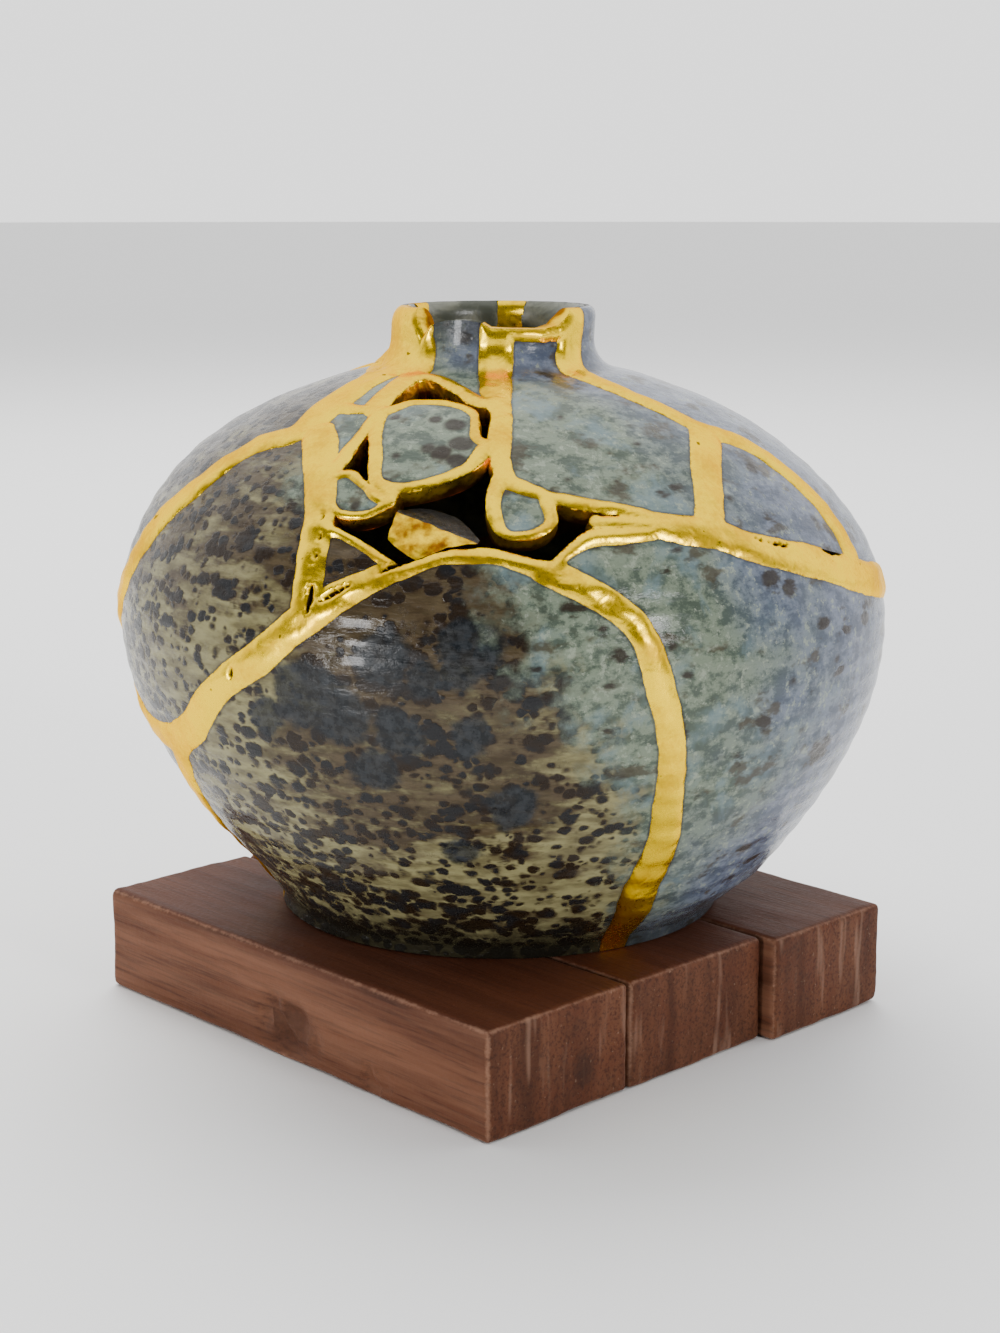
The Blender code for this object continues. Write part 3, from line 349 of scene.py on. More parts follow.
def outer_profile():
    """Radius and height along the outside, from the middle of the underside to the lip."""
    points = [(r, 0.0) for r in np.arange(0.0, FOOT_RADIUS, PROFILE_STEP)]
    foot_top = FOOT_RADIUS + FOOT_FLARE
    points += [(FOOT_RADIUS, 0.0), (foot_top, FOOT_BAND)]
    steps = int((BELLY_HEIGHT - FOOT_BAND) / PROFILE_STEP)
    for share in np.linspace(0, 1, steps)[1:-1]:
        swell = math.sin(math.pi / 2 * share ** BELLY_FULLNESS)
        radius = foot_top + (BELLY_RADIUS - foot_top) * swell
        points.append((radius, FOOT_BAND + (BELLY_HEIGHT - FOOT_BAND) * share))
    angle, normal, fillet = neck_tangent()
    points += arc_points((0, BELLY_HEIGHT), (BELLY_RADIUS, SHOULDER_RISE), 0, angle)
    start = math.atan2(-normal[1], -normal[0]) + 2 * math.pi
    points += arc_points(fillet, (NECK_FILLET, NECK_FILLET), start, math.pi)[1:]
    lip_width = (WALL - LIP_EDGE) / 2
    lip_start = VASE_HEIGHT - LIP_HEIGHT
    points += [(NECK_RADIUS, z) for z in np.arange(fillet[1], lip_start, PROFILE_STEP)[1:]]
    points += arc_points((NECK_RADIUS - lip_width, lip_start), (lip_width, LIP_HEIGHT), 0, math.pi / 2)
    points = np.array(points)
    keep = np.concatenate(([True], np.hypot(*np.diff(points, axis=0).T) > 1e-6))
    return points[keep]


class Unevenness:
    """Smooth bumps in space that come out the same every time, mostly between -1 and 1."""

    def __init__(self, seed):
        self.table = np.random.default_rng(seed).uniform(-1, 1, (32, 32, 32))

    def __call__(self, places, size):
        places = places / size
        cell = np.floor(places).astype(int)
        t = smooth_step(places - cell, 0, 1)
        total = 0
        for corner in itertools.product((0, 1), repeat=3):
            weight = np.prod(np.where(corner, t, 1 - t), axis=-1)
            total = total + weight * self.table[tuple(np.moveaxis((cell + corner) % 32, -1, 0))]
        return total


class Wall:
    """The turned wall: a place on it is an angle and a reach, the way walked along the outside."""

    def __init__(self):
        points = outer_profile()
        self.reach = np.concatenate(([0], np.cumsum(np.hypot(*np.diff(points, axis=0).T))))
        self.radius, self.height = points.T
        self.top = self.reach[-1]
        tangent = np.gradient(points, self.reach, axis=0)
        self.slope = np.unwrap(np.arctan2(-tangent[:, 0], tangent[:, 1]))
        body_start = FOOT_RADIUS + FOOT_BAND + FLOOR_CURVE_END
        blend = smooth_step(self.reach, FOOT_RADIUS - FLOOR_CURVE_START, body_start)
        steady = np.interp(np.maximum(self.reach, body_start), self.reach, self.slope)
        turn = (1 - blend) * (-math.pi / 2) + blend * steady
        depth = (1 - blend) * FLOOR_THICKNESS + blend * WALL
        in_neck = (self.height > neck_tangent()[2][1]) & (self.reach > body_start)
        neck_inner = 2 * NECK_RADIUS - WALL - self.radius
        self.inner_radius = np.where(in_neck, neck_inner, self.radius - depth * np.cos(turn))
        self.inner_height = np.where(in_neck, self.height, self.height - depth * np.sin(turn))
        beyond = self.reach >= FOOT_RADIUS
        spread = np.zeros_like(self.reach)
        gain = np.diff(self.reach) / ((self.radius[1:] + self.radius[:-1]) / 2)
        spread[1:] = np.cumsum(np.where(beyond[:-1], gain, 0))
        self.plane = np.where(beyond, np.exp(spread), self.reach / FOOT_RADIUS)

    def at_height(self, share):
        """Reach at a height in hundredths, or on the underside for a number below zero."""
        share = np.asarray(share, float) / 100
        walls = self.reach >= FOOT_RADIUS
        above = np.interp(share * VASE_HEIGHT, self.height[walls], self.reach[walls])
        return np.where(share < 0, FOOT_RADIUS * (1 + share), above)

    def height_at(self, reach):
        return np.interp(reach, self.reach, self.height)

    def to_plane(self, angle, reach):
        """The wall rolled out flat without turning small shapes on it out of true."""
        distance = np.interp(reach, self.reach, self.plane)
        return np.stack((distance * np.cos(angle), distance * np.sin(angle)), -1)

    def from_plane(self, flat):
        distance = np.hypot(flat[..., 0], flat[..., 1])
        return np.arctan2(flat[..., 1], flat[..., 0]), np.interp(distance, self.plane, self.reach)

    def place(self, angle, radius, height, outside_height):
        """The place in space, with the sideways wander of the thrown form."""
        table = np.array(SWAY)
        shift = np.interp(outside_height, table[:, 0] / 100 * VASE_HEIGHT, table[:, 1])
        x = VASE_CENTRE[0] + shift * math.cos(SWAY_DIRECTION) + radius * np.cos(angle)
        y = VASE_CENTRE[1] + shift * math.sin(SWAY_DIRECTION) + radius * np.sin(angle)
        return np.stack(np.broadcast_arrays(x, y, height + FOOT_LEVEL), -1)

    def outside(self, angle, reach, lift=0.0):
        slope = np.interp(reach, self.reach, self.slope)
        radius = np.interp(reach, self.reach, self.radius)
        height = self.height_at(reach)
        return self.place(angle, radius + lift * np.cos(slope), height + lift * np.sin(slope), height)

    def normal(self, angle, reach):
        slope = np.interp(reach, self.reach, self.slope)
        return np.stack((np.cos(slope) * np.cos(angle), np.cos(slope) * np.sin(angle), np.sin(slope)), -1)

    def inside(self, angle, reach):
        radius = np.interp(reach, self.reach, self.inner_radius)
        height = np.interp(reach, self.reach, self.inner_height)
        return self.place(angle, radius, height, self.height_at(reach))

    def lip(self, angle):
        """Reach of the broken lip at an angle."""
        table = np.array(LIP_CHIP)
        left = np.interp(np.degrees(wrapped(angle)), table[:, 0], table[:, 1])
        return np.where(left < 100, self.at_height(left), self.top)


def smooth_line(wall, stations):
    """A line over the wall as a smooth curve: angles, reaches, places and half widths."""
    table = np.array(stations, float)
    flat = wall.to_plane(np.radians(table[:, 0]), wall.at_height(table[:, 1]))
    half = table[:, 2] / 100 * BELLY_RADIUS / 2
    ends = np.concatenate(([2 * flat[0] - flat[1]], flat, [2 * flat[-1] - flat[-2]]))
    points, widths = [], []
    for i in range(len(flat) - 1):
        a, b, c, d = ends[i:i + 4]
        for t in np.arange(CURVE_STEPS) / CURVE_STEPS:
            points.append((2 * b + (c - a) * t + (2 * a - 5 * b + 4 * c - d) * t ** 2
                           + (3 * b - a - 3 * c + d) * t ** 3) / 2)
            widths.append(half[i] + (half[i + 1] - half[i]) * t)
    angle, reach = wall.from_plane(np.array(points + [flat[-1]]))
    return angle, reach, wall.outside(angle, reach), np.array(widths + [half[-1]])


class Grid:
    """Rows and columns over the wall, closer together at the front and on the shoulder."""

    def __init__(self, wall):
        self.wall = wall
        front = FRONT_MIDDLE + np.linspace(-math.pi / 2, math.pi / 2, FRONT_COLUMNS, endpoint=False)
        back = FRONT_MIDDLE + np.linspace(math.pi / 2, 3 * math.pi / 2, BACK_COLUMNS, endpoint=False)
        self.angle = np.concatenate((front, back))
        change = float(wall.at_height(HIGH_FROM))
        underside = np.arange(0.5, FOOT_RADIUS - 1, FLOOR_STEP)
        low = np.arange(FOOT_RADIUS + LOW_STEP / 2, change, LOW_STEP)
        high = np.linspace(change, wall.top, int((wall.top - change) / HIGH_STEP))
        rows = np.concatenate((underside, [FOOT_RADIUS - 0.4, FOOT_RADIUS], low, high))
        spare = 1 + (-len(rows)) % INSIDE_EVERY
        self.reach = np.concatenate((rows, wall.top + np.arange(1, spare + 1)))
        self.places = wall.outside(self.angle[None, :], self.reach[:, None])
        self.under_lip = wall.lip(self.angle)[None, :] - self.reach[:, None]

    def distance(self, lines, limit=FIELD_REACH):
        """Distance to the edge of the nearest line, below zero inside it."""
        value = np.full(self.places.shape[:2], limit)
        for stations in lines:
            angle, reach, points, half = smooth_line(self.wall, stations)
            for i in range(len(points) - 1):
                margin = max(half[i], half[i + 1]) + limit
                low = np.searchsorted(self.reach, min(reach[i], reach[i + 1]) - margin)
                high = np.searchsorted(self.reach, max(reach[i], reach[i + 1]) + margin)
                radii = np.interp(self.reach[low:high], self.wall.reach, self.wall.radius)
                turn = wrapped(angle[i + 1] - angle[i])
                spread = abs(turn) / 2 + 1.3 * margin / max(radii.min(initial=BELLY_RADIUS), 0.1)
                off = wrapped(self.angle - angle[i] - turn / 2)
                block = np.ix_(np.arange(low, high), np.nonzero(np.abs(off) < spread)[0])
                step = points[i + 1] - points[i]
                away = self.places[block] - points[i]
                t = np.clip(away @ step / max(step @ step, 1e-9), 0, 1)
                gap = np.linalg.norm(away - t[..., None] * step, axis=-1)
                value[block] = np.minimum(value[block], gap - (half[i] + (half[i + 1] - half[i]) * t))
        return value

    def region(self, value, angle, height):
        """Grid points joined to a place without crossing a line."""
        column = int(np.argmin(np.abs(wrapped(self.angle - angle))))
        row = int(np.argmin(np.abs(self.reach - self.wall.at_height(height))))
        inside = value > 0
        found = np.zeros_like(inside)
        found[row, column] = True
        while True:
            wider = widened(found) & inside
            if (wider == found).all():
                return found
            found = wider


class Cut:
    """The part of a grid where a value is above zero, cut along the line where it is zero."""

    def __init__(self, grid, value, every=1):
        value = value[::every, ::every]
        angle, reach = grid.angle[::every], grid.reach[::every]
        value = np.where(np.abs(value) < CUT_MARGIN, np.where(value > 0, CUT_MARGIN, -CUT_MARGIN), value)
        columns = value.shape[1]
        above = value > 0
        self.angles, self.reaches, self.values = [], [], []
        corner = np.full(value.shape, -1)
        corner[above] = np.arange(above.sum())
        i, j = np.nonzero(above)
        self.add(angle[j], reach[i], value[i, j])
        after = np.roll(value, -1, axis=1)
        turn = np.roll(angle, -1) - angle
        turn[-1] += 2 * math.pi
        across = np.full(value.shape, -1)
        i, j = np.nonzero(above != (after > 0))
        across[i, j] = above.sum() + np.arange(len(i))
        t = value[i, j] / (value[i, j] - after[i, j])
        self.add(angle[j] + t * turn[j], reach[i], 0 * t)
        upward = np.full(value.shape, -1)
        count = above.sum() + len(i)
        i, j = np.nonzero(above[:-1] != above[1:])
        upward[i, j] = count + np.arange(len(i))
        t = value[i, j] / (value[i, j] - value[i + 1, j])
        self.add(angle[j], reach[i] + t * (reach[i + 1] - reach[i]), 0 * t)
        self.angles = np.concatenate(self.angles)
        self.reaches = np.concatenate(self.reaches)
        self.values = np.concatenate(self.values)
        inside = above.astype(int)
        number = inside[:-1] + np.roll(inside, -1, 1)[:-1] + inside[1:] + np.roll(inside, -1, 1)[1:]
        i, j = np.nonzero(number == 4)
        k = (j + 1) % columns
        self.faces = np.stack((corner[i, j], corner[i, k], corner[i + 1, k], corner[i + 1, j]), -1).tolist()
        self.rim = []
        for i, j in zip(*np.nonzero((number > 0) & (number < 4))):
            k = (j + 1) % columns
            corners = (corner[i, j], corner[i, k], corner[i + 1, k], corner[i + 1, j])
            sides = (across[i, j], upward[i, k], across[i + 1, j], upward[i, j])
            face = [int(p) for pair in zip(corners, sides) for p in pair if p >= 0]
            self.faces.append(face)
            first = above.sum()
            for a, b in zip(face, face[1:] + face[:1]):
                if a >= first and b >= first:
                    self.rim.append((a, b))

    def add(self, angle, reach, value):
        self.angles.append(angle)
        self.reaches.append(reach)
        self.values.append(value)


def add_object(name, data):
    thing = bpy.data.objects.new(name, data)
    bpy.context.scene.collection.objects.link(thing)
    return thing


class Body:
    """Points, faces and marks of a mesh that is put together from several skins."""

    def __init__(self):
        self.points, self.deep, self.rim, self.slit = [], [], [], []
        self.faces, self.kinds = [], []
        self.count = 0

    def add(self, points, faces, kind, deep=0.0, rim=FIELD_REACH, slit=0.0):
        first = self.count
        self.points.append(points)
        for store, mark in ((self.deep, deep), (self.rim, rim), (self.slit, slit)):
            store.append(np.broadcast_to(np.asarray(mark, float), len(points)))
        self.faces += [[first + p for p in face] for face in faces]
        self.kinds += [kind] * len(faces)
        self.count += len(points)
        return first

    def join(self, faces, kind):
        self.faces += faces
        self.kinds += [kind] * len(faces)

    def finish(self, name, finishes, slot, *nodes):
        """The mesh as an object that stands for the solids' nodes."""
        mesh = bpy.data.meshes.new(name)
        mesh.from_pydata((np.concatenate(self.points) * MM).tolist(), [], self.faces)
        for finish in finishes:
            mesh.materials.append(finish)
        mesh.polygons.foreach_set("material_index", self.kinds)
        for mark, store in (("deep", self.deep), ("rim", self.rim), ("slit", self.slit)):
            mesh.attributes.new(mark, "FLOAT", "POINT").data.foreach_set("value", np.concatenate(store))
        mesh.validate()
        mesh.shade_smooth()
        mesh.set_sharp_from_angle(angle=SHARP_ANGLE)
        piece = add_object(name, mesh)
        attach(piece, "root")
        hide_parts(*nodes)
        return piece


def skin(body, wall, cut, lift, kinds, shares, lumps, marks):
    """Adds an outer skin and the side walls down from its rim."""
    outer = wall.outside(cut.angles, cut.reaches, lift)
    inner = wall.inside(cut.angles, cut.reaches)
    first = body.add(outer, cut.faces, kinds[0], rim=marks[0], slit=marks[1])
    rim = sorted({p for edge in cut.rim for p in edge})
    place = {p: n for n, p in enumerate(rim)}
    a, b = np.array(cut.rim).T
    away = np.zeros_like(outer)
    side = np.cross(outer[b] - outer[a], wall.normal(cut.angles[a], cut.reaches[a]))
    np.add.at(away, a, side)
    np.add.at(away, b, side)
    away = away[rim] / np.maximum(np.linalg.norm(away[rim], axis=1), 1e-9)[:, None]
    top = [first + p for p in rim]
    for share in shares:
        level = outer[rim] + (inner[rim] - outer[rim]) * share
        push = lumps(level, share)
        # The mark deep grows down the side walls; the gold's finish turns it into painted shade.
        start = body.add(level + away * push[:, None], [], kinds[1], deep=share, rim=0.0)
        low = [start + n for n in range(len(rim))]
        pairs = [(place[p], place[q]) for p, q in cut.rim]
        body.join([[top[q], top[p], low[p], low[q]] for p, q in pairs], kinds[1])
        top = low


def relief(wall, uneven, angle, reach):
    """Throwing rings and the soft unevenness of the thrown wall."""
    height = wall.height_at(reach)
    places = wall.outside(angle, reach)
    turns = (height + RING_WANDER * uneven(places, 38)) / RING_PITCH
    rings = np.sin(2 * math.pi * turns) * (0.6 + 0.4 * uneven(places, 24))
    fade = smooth_step(height, 4, 16) * smooth_step(wall.top - reach, 8, 30)
    return fade * (RING_HEIGHT * rings + 0.3 * uneven(places, 30) + 0.08 * uneven(places, 7))


def gold_lift(wall, uneven, cut, depth, slit):
    """How far the gold stands proud of the glaze, from its edge inwards."""
    places = wall.outside(cut.angles, cut.reaches)
    edge = GOLD_EDGE[0] * (1 - np.exp(-depth / GOLD_EDGE[1]))
    crown = GOLD_CROWN[0] * smooth_step(depth, 0, GOLD_CROWN[1])
    waves = (0.2 * uneven(places, 6.5) + 0.1 * uneven(places, 2.6)) * np.minimum(1, depth / 0.9)
    fade = smooth_step(wall.height_at(cut.reaches), 0, 4) * smooth_step(wall.top - cut.reaches, -0.5, 5)
    lift = (edge + crown + waves - GOLD_SUNK) * fade
    return relief(wall, uneven, cut.angles, cut.reaches) + lift - SLIT_DEPTH * smooth_step(slit, 0, 0.6)


def build_gold(room, look):
    """The gold network: raised waves outside, lumpy gold over the broken edges of the gaps."""
    wall, grid, uneven = room.wall, room.grid, room.uneven
    slits = grid.distance(SLITS, SLIT_REACH)
    cut = Cut(grid, np.minimum(-room.field, grid.under_lip))
    depth = np.maximum(cut.values, 0)
    slit = np.maximum(0, -sample(grid, slits, cut.angles, cut.reaches) + 0.25)
    body = Body()

    def lumps(level, share):
        swell = math.sin(math.pi * min(share, 0.9))
        return (0.3 * uneven(level, 3.2) + 0.3 * uneven(level, 7)) * swell * look.lumps

    lift = gold_lift(wall, uneven, cut, depth, slit)
    skin(body, wall, cut, lift, (0, 1), (0.1, 0.3, 0.6, 1.0), lumps, (depth, slit))
    inner = wall.inside(cut.angles, cut.reaches)
    # Painted shade for the gold inside the pot: full below the neck, little inside the neck.
    deep = 1 - 0.8 * smooth_step(wall.height_at(cut.reaches), 128, 138)
    body.add(inner, [face[::-1] for face in cut.faces], 1, deep=deep)
    finishes = (gold_finish(look), gold_finish(look, inner=True))
    body.finish("gold_network", finishes, "gold_lacquer", "gold_seams")


def sample(grid, values, angle, reach):
    """Values of a grid at other places, between the nearest rows and columns."""
    turned = (angle - grid.angle[0]) % (2 * math.pi)
    column = np.interp(turned, grid.angle - grid.angle[0], np.arange(len(grid.angle)))
    row = np.clip(np.interp(reach, grid.reach, np.arange(len(grid.reach))), 0, len(grid.reach) - 1.001)
    i, j = row.astype(int), column.astype(int) % len(grid.angle)
    k = (j + 1) % len(grid.angle)
    u, v = row - i, column - column.astype(int)
    low = values[i, j] * (1 - v) + values[i, k] * v
    high = values[i + 1, j] * (1 - v) + values[i + 1, k] * v
    return low * (1 - u) + high * u


def build_sherd(name, room, finishes):
    """One sherd: fine glaze outside, its broken edges, and a plainer inside."""
    wall, grid, uneven, field = room.wall, room.grid, room.uneven, room.field
    angle, height = SHERDS[name]
    own = grid.region(field, math.radians(angle), height)
    value = np.where(own | (field <= 0), field, OUTSIDE) + GLAZE_UNDER_GOLD
    value = np.minimum(np.where(widened(own), value, OUTSIDE), grid.under_lip)
    body = Body()
    cut = Cut(grid, value)
    marks = sample(grid, field, cut.angles, cut.reaches)
    skin(body, wall, cut, relief(wall, uneven, cut.angles, cut.reaches), (0, 2), (0.35, 1.0),
         lambda level, share: 0.35 * uneven(level, 1.8) - 0.35, (marks, 0.0))
    inside = Cut(grid, value, INSIDE_EVERY)
    if inside.faces:
        places = wall.inside(inside.angles, inside.reaches)
        body.add(places, [face[::-1] for face in inside.faces], 1, deep=1.0)
    slot = "olive_glaze" if name in OLIVE_SHERDS else "blue_glaze"
    body.finish(name + "_glazed", finishes, slot, name)


def build_tipped_sherd(room, finishes):
    """The sherd that tipped inwards: gold over its broken edge and ends, bare dark clay behind."""
    def edge(stations):
        table = np.array(stations, float)
        reach = room.wall.at_height(table[:, 1])
        corners = room.wall.outside(np.radians(table[:, 0]), reach, -TIPPED_INSET)
        marks = np.linspace(0, len(corners) - 1, TIPPED_STATIONS + 1)
        return np.stack([np.interp(marks, np.arange(len(corners)), corners[:, k]) for k in range(3)], -1)

    top, foot = edge(TIPPED_TOP), edge(TIPPED_FOOT)
    inwards = np.array((VASE_CENTRE[0], VASE_CENTRE[1], 0.0)) - top.mean(axis=0)
    inwards[2] = 0.0
    inwards /= np.linalg.norm(inwards)
    bow = np.sin(np.linspace(0, math.pi, TIPPED_STATIONS + 1))
    back = (TIPPED_ENDS + (TIPPED_DEPTH - TIPPED_ENDS) * bow)[:, None] * (inwards + (0, 0, TIPPED_SLOPE))
    corners = (top, foot, foot + back, top + back)
    rings = []
    for n, corner in enumerate(corners):
        after = corners[(n + 1) % 4]
        rings += [corner + (after - corner) * k / TIPPED_ROUND for k in range(TIPPED_ROUND)]
    points = np.stack(rings, axis=1).reshape(-1, 3)
    around = 4 * TIPPED_ROUND
    uneven = room.uneven
    moved = [points + 40 * k for k in range(3)]
    points += np.stack([0.3 * uneven(spots, 2.4) + 0.5 * uneven(spots, 6) for spots in moved], -1)
    faces, kinds = [], []
    for station in range(TIPPED_STATIONS):
        for k in range(around):
            a, b = station * around + k, station * around + (k + 1) % around
            faces.append([a, b, b + around, a + around])
            kinds.append(1 if k < TIPPED_ROUND else 0)
    last = TIPPED_STATIONS * around
    faces += [list(range(around))[::-1], list(range(last, last + around))]
    kinds += [1, 1]
    body = Body()
    # Its gold is given part of the painted shade of the gaps.
    body.add(points, faces, 0, deep=0.55)
    body.kinds = kinds
    piece = body.finish("sherd_tipped_glazed", finishes, "olive_glaze", "sherd_tipped")
    form = bmesh.new()
    form.from_mesh(piece.data)
    bmesh.ops.recalc_face_normals(form, faces=form.faces)
    form.to_mesh(piece.data)
    form.free()


def board_lines(low, high, pitch):
    """Positions of the grid lines along one side of a board, close together near its edges."""
    near = [low + s for s in BOARD_EDGE_STEPS]
    far = [high - s for s in BOARD_EDGE_STEPS[::-1]]
    count = max(2, int((far[0] - near[-1]) / pitch))
    return np.array(near + list(np.linspace(near[-1], far[0], count + 1)[1:-1]) + far)


def build_board(name, uneven, look):
    """A board with worn rounded edges and saw waves, the front one with torn grain at its knots."""
    low, high = (np.array(corner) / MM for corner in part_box(name))
    lines = [board_lines(low[k], high[k], BOARD_PITCH) for k in range(3)]
    found = {}
    places = []

    def point(key):
        if key not in found:
            found[key] = len(places)
            places.append([lines[k][key[k]] for k in range(3)])
        return found[key]

    faces = []
    for axis in range(3):
        u, v = (axis + 1) % 3, (axis + 2) % 3
        for end in (0, len(lines[axis]) - 1):
            for i in range(len(lines[u]) - 1):
                for j in range(len(lines[v]) - 1):
                    corner = []
                    for a, b in ((i, j), (i + 1, j), (i + 1, j + 1), (i, j + 1)):
                        key = [0, 0, 0]
                        key[axis], key[u], key[v] = end, a, b
                        corner.append(point(tuple(key)))
                    faces.append(corner if end else corner[::-1])
    flat = np.array(places)
    radius = BOARD_EDGE_RADIUS + 0.7 * uneven(flat, 17) + 0.25 * uneven(flat, 4)
    radius = radius[:, None] * look.edge_wear
    core = np.clip(flat, low + radius, high - radius)
    away = flat - core
    length = np.maximum(np.linalg.norm(away, axis=1, keepdims=True), 1e-6)
    rounded = core + away / length * np.minimum(length, radius)
    outward = away / length
    dents = 0.12 * uneven(flat * (0.35, 1, 1), 5) + 0.1 * uneven(flat * (0.1, 1, 1), 1.6) - 0.12
    if name == BOARDS[0]:
        dents += knot_relief(flat, low, uneven)
    body = Body()
    body.add(rounded + outward * np.minimum(dents, 0.1)[:, None], faces, 0)
    body.finish(name + "_wood", (wood_finish(look, name),), "walnut_wood", name)


def knot_relief(flat, low, uneven):
    """Torn wavy grain at two knots on the long front side."""
    total = np.zeros(len(flat))
    front = np.abs(flat[:, 1] - low[1]) < 1e-6
    ridges = uneven(flat * (1, 1, 0.8) + 11, 2.6) - 0.6
    for (x, z), size, rough in SIDE_KNOTS:
        gap = np.hypot((flat[:, 0] - x) / 1.5, flat[:, 2] - z) / size
        total += front * rough * smooth_step(gap, 1, 0.35) * ridges
    return total


class Value:
    """A number, colour or place in a node tree, so that sums can be written as Python expressions."""

    def __init__(self, nodes, link):
        self.nodes, self.link = nodes, link

    def __add__(self, other):
        return self.nodes.calc("ADD", self, other)

    def __sub__(self, other):
        return self.nodes.calc("SUBTRACT", self, other)

    def __mul__(self, other):
        return self.nodes.calc("MULTIPLY", self, other)

    def __truediv__(self, other):
        return self.nodes.calc("DIVIDE", self, other)

    def __rsub__(self, other):
        return self.nodes.calc("SUBTRACT", other, self)

    __radd__ = __add__

    def larger(self, other):
        return self.nodes.calc("MAXIMUM", self, other)

    def smaller(self, other):
        return self.nodes.calc("MINIMUM", self, other)

    def fade(self, low, high):
        """From 0 at low to 1 at high, smoothly."""
        return self.nodes.add("ShaderNodeMapRange", {"interpolation_type": "SMOOTHSTEP"},
                              {"Value": self, "From Min": low, "From Max": high})


class Nodes:
    """A node tree in the making: a Value given to a socket is linked, and anything else is set."""

    def __init__(self, tree):
        self.tree = tree

    def add(self, kind, settings=None, values=None, out=0):
        """A node of a kind with its settings and sockets; returns one of its outputs."""
        node = self.tree.nodes.new(kind)
        for setting, value in (settings or {}).items():
            setattr(node, setting, value)
        for socket, value in (values or {}).items():
            if isinstance(value, Value):
                self.tree.links.new(value.link, node.inputs[socket])
            elif node.inputs[socket].type == "RGBA":
                node.inputs[socket].default_value = (*value, 1)
            else:
                node.inputs[socket].default_value = value
        return Value(self, node.outputs[out])

    def calc(self, operation, *values):
        return self.add("ShaderNodeMath", {"operation": operation}, dict(enumerate(values)))

    def vector(self, operation, *values, out=0):
        return self.add("ShaderNodeVectorMath", {"operation": operation}, dict(enumerate(values)), out)


class Finish(Nodes):
    """A material with its Principled shader."""

    def __init__(self, name, **fixed):
        self.material = bpy.data.materials.new(name)
        self.material.use_nodes = True
        super().__init__(self.material.node_tree)
        self.shader = self.tree.nodes["Principled BSDF"]
        for socket, value in fixed.items():
            self.shader.inputs[socket.replace("_", " ")].default_value = value

    def feed(self, **links):
        for socket, value in links.items():
            self.tree.links.new(value.link, self.shader.inputs[socket.replace("_", " ")])

    def stretch(self, vector, *factors):
        return self.vector("MULTIPLY", vector, factors)

    def distance(self, vector, point):
        return self.vector("DISTANCE", vector, point, out="Value")

    def blend(self, share, low, high):
        """A colour between two colours."""
        return self.add("ShaderNodeMix", {"data_type": "RGBA"}, {0: share, 6: low, 7: high}, 2)

    def noise(self, vector, size, detail=2.0, rough=0.55, warp=0.0, out=0):
        return self.add("ShaderNodeTexNoise", None, {"Vector": vector, "Scale": 1 / size, "Detail": detail,
                                                     "Roughness": rough, "Distortion": warp}, out)

    def mark(self, name):
        """A number kept at the mesh's points."""
        return self.add("ShaderNodeAttribute", {"attribute_name": name}, None, "Fac")

    def bump(self, height, distance, strength=1.0, normal=None):
        values = {"Height": height, "Distance": distance * MM, "Strength": strength}
        if normal:
            values["Normal"] = normal
        return self.add("ShaderNodeBump", None, values)

    def place(self, origin=(0, 0, 0)):
        """The place in the object's own frame, in millimetres from an origin."""
        spot = self.add("ShaderNodeTexCoord", None, None, "Object")
        return self.vector("SUBTRACT", self.stretch(spot, 1 / MM, 1 / MM, 1 / MM), origin)

    def axis(self, vector, name):
        return self.add("ShaderNodeSeparateXYZ", None, {0: vector}, name)


def gold_finish(look, inner=False):
    """Polished gold over lacquer, ambered where it is thin and dark in its pits; in the gaps and inside the
    pot it is given painted shade, darker amber the deeper it lies.
    """
    name = "gold_in_the_gaps" if inner else "gold_polished"
    gold = Finish(name, Metallic=1.0, Specular_Tint=(1.0, 0.72, 0.25, 1.0))
    place = gold.place()
    deep, slit = gold.mark("deep"), gold.mark("slit")
    cloud = gold.noise(place, 12, 3)
    grain = gold.noise(place, 1.1, 3, 0.7)
    thin = (cloud * 0.8 + grain * 0.4).fade(0.5, 0.84)
    colour = gold.blend(thin, look.gold_colour, look.gold_shade)
    rough = 0.19 + grain * 0.16 + thin * 0.1
    if inner:
        # Painted shade: the deeper the gold lies in a gap or inside the pot, the darker amber it is painted.
        shade = (deep * 0.9 + gold.noise(place, 4, 4, 0.6) * 1.6 - 0.8).fade(0.2, 0.8)
        colour = gold.blend(shade, colour, GAP_SHADE_AMBER)
        rough = rough + deep * 0.1
    else:
        worn = (grain - gold.mark("rim") * 0.9).fade(0.2, 0.62)
        colour = gold.blend(worn * 0.85, colour, WORN_EDGE)
        pits = gold.noise(place, 2.6, 1).fade(0.745, 0.79)
        colour = gold.blend(slit.fade(0.05, 0.4).larger(pits * 0.8), colour, PIT)
        rough = rough + slit * 0.5
    gold.feed(Base_Color=colour, Roughness=rough)
    swells = gold.bump(gold.noise(place, 5, 2, 0.5, 0.4), 0.7 if inner else 0.36)
    gold.feed(Normal=gold.bump(gold.noise(place, 0.6, 2), 0.03, 0.8, swells))
    return gold.material


